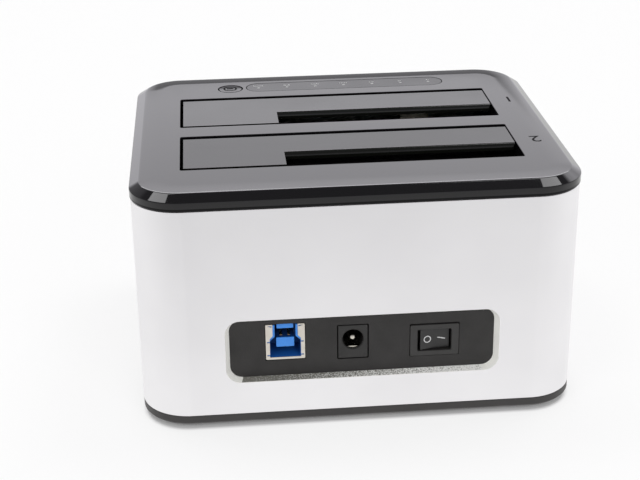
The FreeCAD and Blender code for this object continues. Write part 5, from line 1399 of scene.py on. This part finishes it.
@dataclass(frozen=True)
class Studio:
    """Pale floor, plain backdrop, soft lights and the camera; sizes in metres."""

    eye: Point = (-0.04339, -0.43428, 0.22598)
    right: Point = (0.99610, -0.08730, -0.01261)
    up: Point = (0.04640, 0.39712, 0.91659)
    ahead: Point = (0.07502, 0.91361, -0.39962)
    lens: float = 79.6
    sensor: float = 36.0
    ambient: float = 0.56
    tint: Point = (0.99, 0.985, 1.0)
    cool: Point = (0.995, 0.98, 1.03, 1.0)
    # Floor: the eye sees white paper but for a thin rim of contact shadow, and gloss sees it fade
    # towards the camera.
    reach: float = 6.0
    paper: Pair = (0.1, 0.76)
    shadow_rim: Pair = (-0.0012, 0.0005)
    fading: Pair = (-0.32, -0.1)
    faded: Pair = (0.74, 1.12)
    echo: float = 0.9
    # Backdrop that gloss sees: brightness of its parts, and the soft borders that join them. Each
    # border names what it makes, the direction that it is measured in and between which two values
    # of it, and what lies before and after.
    parts: tuple[tuple[str, float], ...] = (
        ("foot", 1.4), ("low", 0.45), ("high", 1.56), ("lamp", 2.5), ("near", 1.0), ("far", 0.45),
        ("ceiling", 0.2),
    )
    borders: tuple[tuple[str, str, float, float, str, str], ...] = (
        ("beside", "height", 0.0, 0.2, "foot", "high"),
        ("left", "across", -0.1, -0.06, "beside", "low"),
        ("horizon", "across", 0.21, 0.27, "left", "beside"),
        ("rising", "height", 0.36, 0.5, "high", "lamp"),
        ("facing", "height", 0.283, 0.291, "horizon", "rising"),
        ("behind", "across", -0.42, -0.34, "low", "facing"),
        ("before", "height", 0.15, 0.4, "near", "far"),
        ("around", "along", 0.2, 0.35, "before", "behind"),
        ("all", "height", 0.62, 0.7, "around", "ceiling"),
    )
    softboxes: tuple[Softbox, ...] = (
        Softbox("back strip light", 88.0, 35.5, 1.6, (1.9, 0.12), 3.4),
        Softbox("left ceiling softbox", 139.0, 62.5, 2.0, (0.7, 0.7), 4.6),
        Softbox("right ceiling softbox", 30.0, 63.5, 2.0, (0.75, 0.75), 4.6),
        Softbox("left front softbox", 226.0, 28.0, 1.5, (0.6, 0.6), 3.2, False),
        Softbox("right front softbox", 291.0, 28.0, 1.5, (0.6, 0.6), 4.0, False),
    )

    def build(self) -> None:
        """Sets the stage, the lights and the camera."""
        self.floor()
        self.backdrop()
        for softbox in self.softboxes:
            softbox.hang(self.tint)
        self.camera()

    def floor(self) -> None:
        """Wide white paper, bright to the eye and in gloss, that keeps the object's shadow."""
        draft = Draft()
        bmesh.ops.create_grid(draft.bm, x_segments=1, y_segments=1, size=self.reach)
        mesh = bpy.data.meshes.new("floor")
        draft.bm.to_mesh(mesh)
        paper = PAPER.material()
        tree = paper.node_tree
        output = next(node for node in tree.nodes if node.type == "OUTPUT_MATERIAL")
        lit = output.inputs["Surface"].links[0].from_socket
        path = add_node(tree, "LightPath").outputs
        place = add_node(tree, "TexCoord").outputs["Object"]
        across, along = add_node(tree, "SeparateXYZ", {0: place}).outputs[:2]
        casing = Casing()
        beyond = []
        for away, size in ((across, casing.width), (along, casing.depth)):
            inner = (size / 2 - casing.corner) * MM
            for operation, other in (("ABSOLUTE", 0.0), ("SUBTRACT", inner), ("MAXIMUM", 0.0)):
                away = add_node(tree, "Math", {0: away, 1: other}, operation=operation).outputs[0]
            beyond.append(away)
        joined = add_node(tree, "CombineXYZ", {0: beyond[0], 1: beyond[1]}).outputs[0]
        distance = add_node(tree, "VectorMath", {0: joined}, operation="LENGTH").outputs["Value"]
        start, end = [casing.corner * MM + step for step in self.shadow_rim]
        bared = add_node(tree, "MapRange", {
            "Value": distance, "From Min": start, "From Max": end,
            "To Min": self.paper[0], "To Max": self.paper[1],
        }).outputs[0]
        level = add_node(tree, "MapRange", {
            "Value": along, "From Min": self.fading[0], "From Max": self.fading[1],
            "To Min": self.faded[0], "To Max": self.faded[1],
        }).outputs[0]
        mixed = lit
        for ray, share, strength in (("Is Camera Ray", bared, 1.0), ("Is Glossy Ray", self.echo, level)):
            shown = add_node(tree, "Emission", {"Color": WHITE, "Strength": strength}).outputs[0]
            part = add_node(tree, "Math", {0: path[ray], 1: share}, operation="MULTIPLY").outputs[0]
            mixed = add_node(tree, "MixShader", {0: part, 1: mixed, 2: shown}).outputs[0]
        tree.links.new(mixed, output.inputs["Surface"])
        mesh.materials.append(paper)
        floor = put("floor", mesh)

    def backdrop(self) -> None:
        """White world for the eye, a backdrop under a dark ceiling for gloss, and even light for the rest."""
        world = bpy.data.worlds.new("studio")
        world.use_nodes = True
        tree = world.node_tree
        tree.nodes.clear()
        path = add_node(tree, "LightPath").outputs
        toward = add_node(tree, "TexCoord").outputs["Generated"]
        directions = add_node(tree, "SeparateXYZ", {0: toward}).outputs[:3]
        measured = dict(zip(("across", "along", "height"), directions))
        level = dict(self.parts)
        for name, direction, start, end, first, last in self.borders:
            level[name] = add_node(tree, "MapRange", {
                "Value": measured[direction], "From Min": start, "From Max": end,
                "To Min": level[first], "To Max": level[last],
            }).outputs[0]
        lit, gloss, shown = [
            add_node(tree, "Background", {"Color": colour, "Strength": strength}).outputs[0]
            for colour, strength in ((WHITE, self.ambient), (self.cool, level["all"]), (WHITE, 1.0))
        ]
        glossed = add_node(tree, "MixShader", {0: path["Is Glossy Ray"], 1: lit, 2: gloss}).outputs[0]
        seen = add_node(tree, "Math", {
            0: path["Is Camera Ray"], 1: path["Is Transmission Ray"],
        }, operation="MAXIMUM").outputs[0]
        mixed = add_node(tree, "MixShader", {0: seen, 1: glossed, 2: shown}).outputs[0]
        add_node(tree, "OutputWorld", {"Surface": mixed})
        bpy.context.scene.world = world

    def camera(self) -> None:
        """Sets the camera at the photograph's viewing angle."""
        data = bpy.data.cameras.new("camera")
        data.lens = self.lens
        data.sensor_width = self.sensor
        camera = put("camera", data)
        turned = Matrix((self.right, self.up, -Vector(self.ahead))).transposed()
        camera.matrix_world = Matrix.Translation(self.eye) @ turned.to_4x4()
        bpy.context.scene.camera = camera


def main() -> None:
    """Builds every sub-assembly in order."""
    bpy.context.scene.view_settings.view_transform = "Standard"
    Casing().build()
    Flap("a", 1.9, FLAP_GLOSS).build()
    # The nearer flap takes the copy of the gloss with the painted darker reflection.
    Flap("b", -37.0, FLAP_PAINTED_DARK).build()
    Indicators().build()
    Ports().build()
    Marks().build()
    Inside().build()
    Studio().build()


if __name__ == "__main__":
    main()
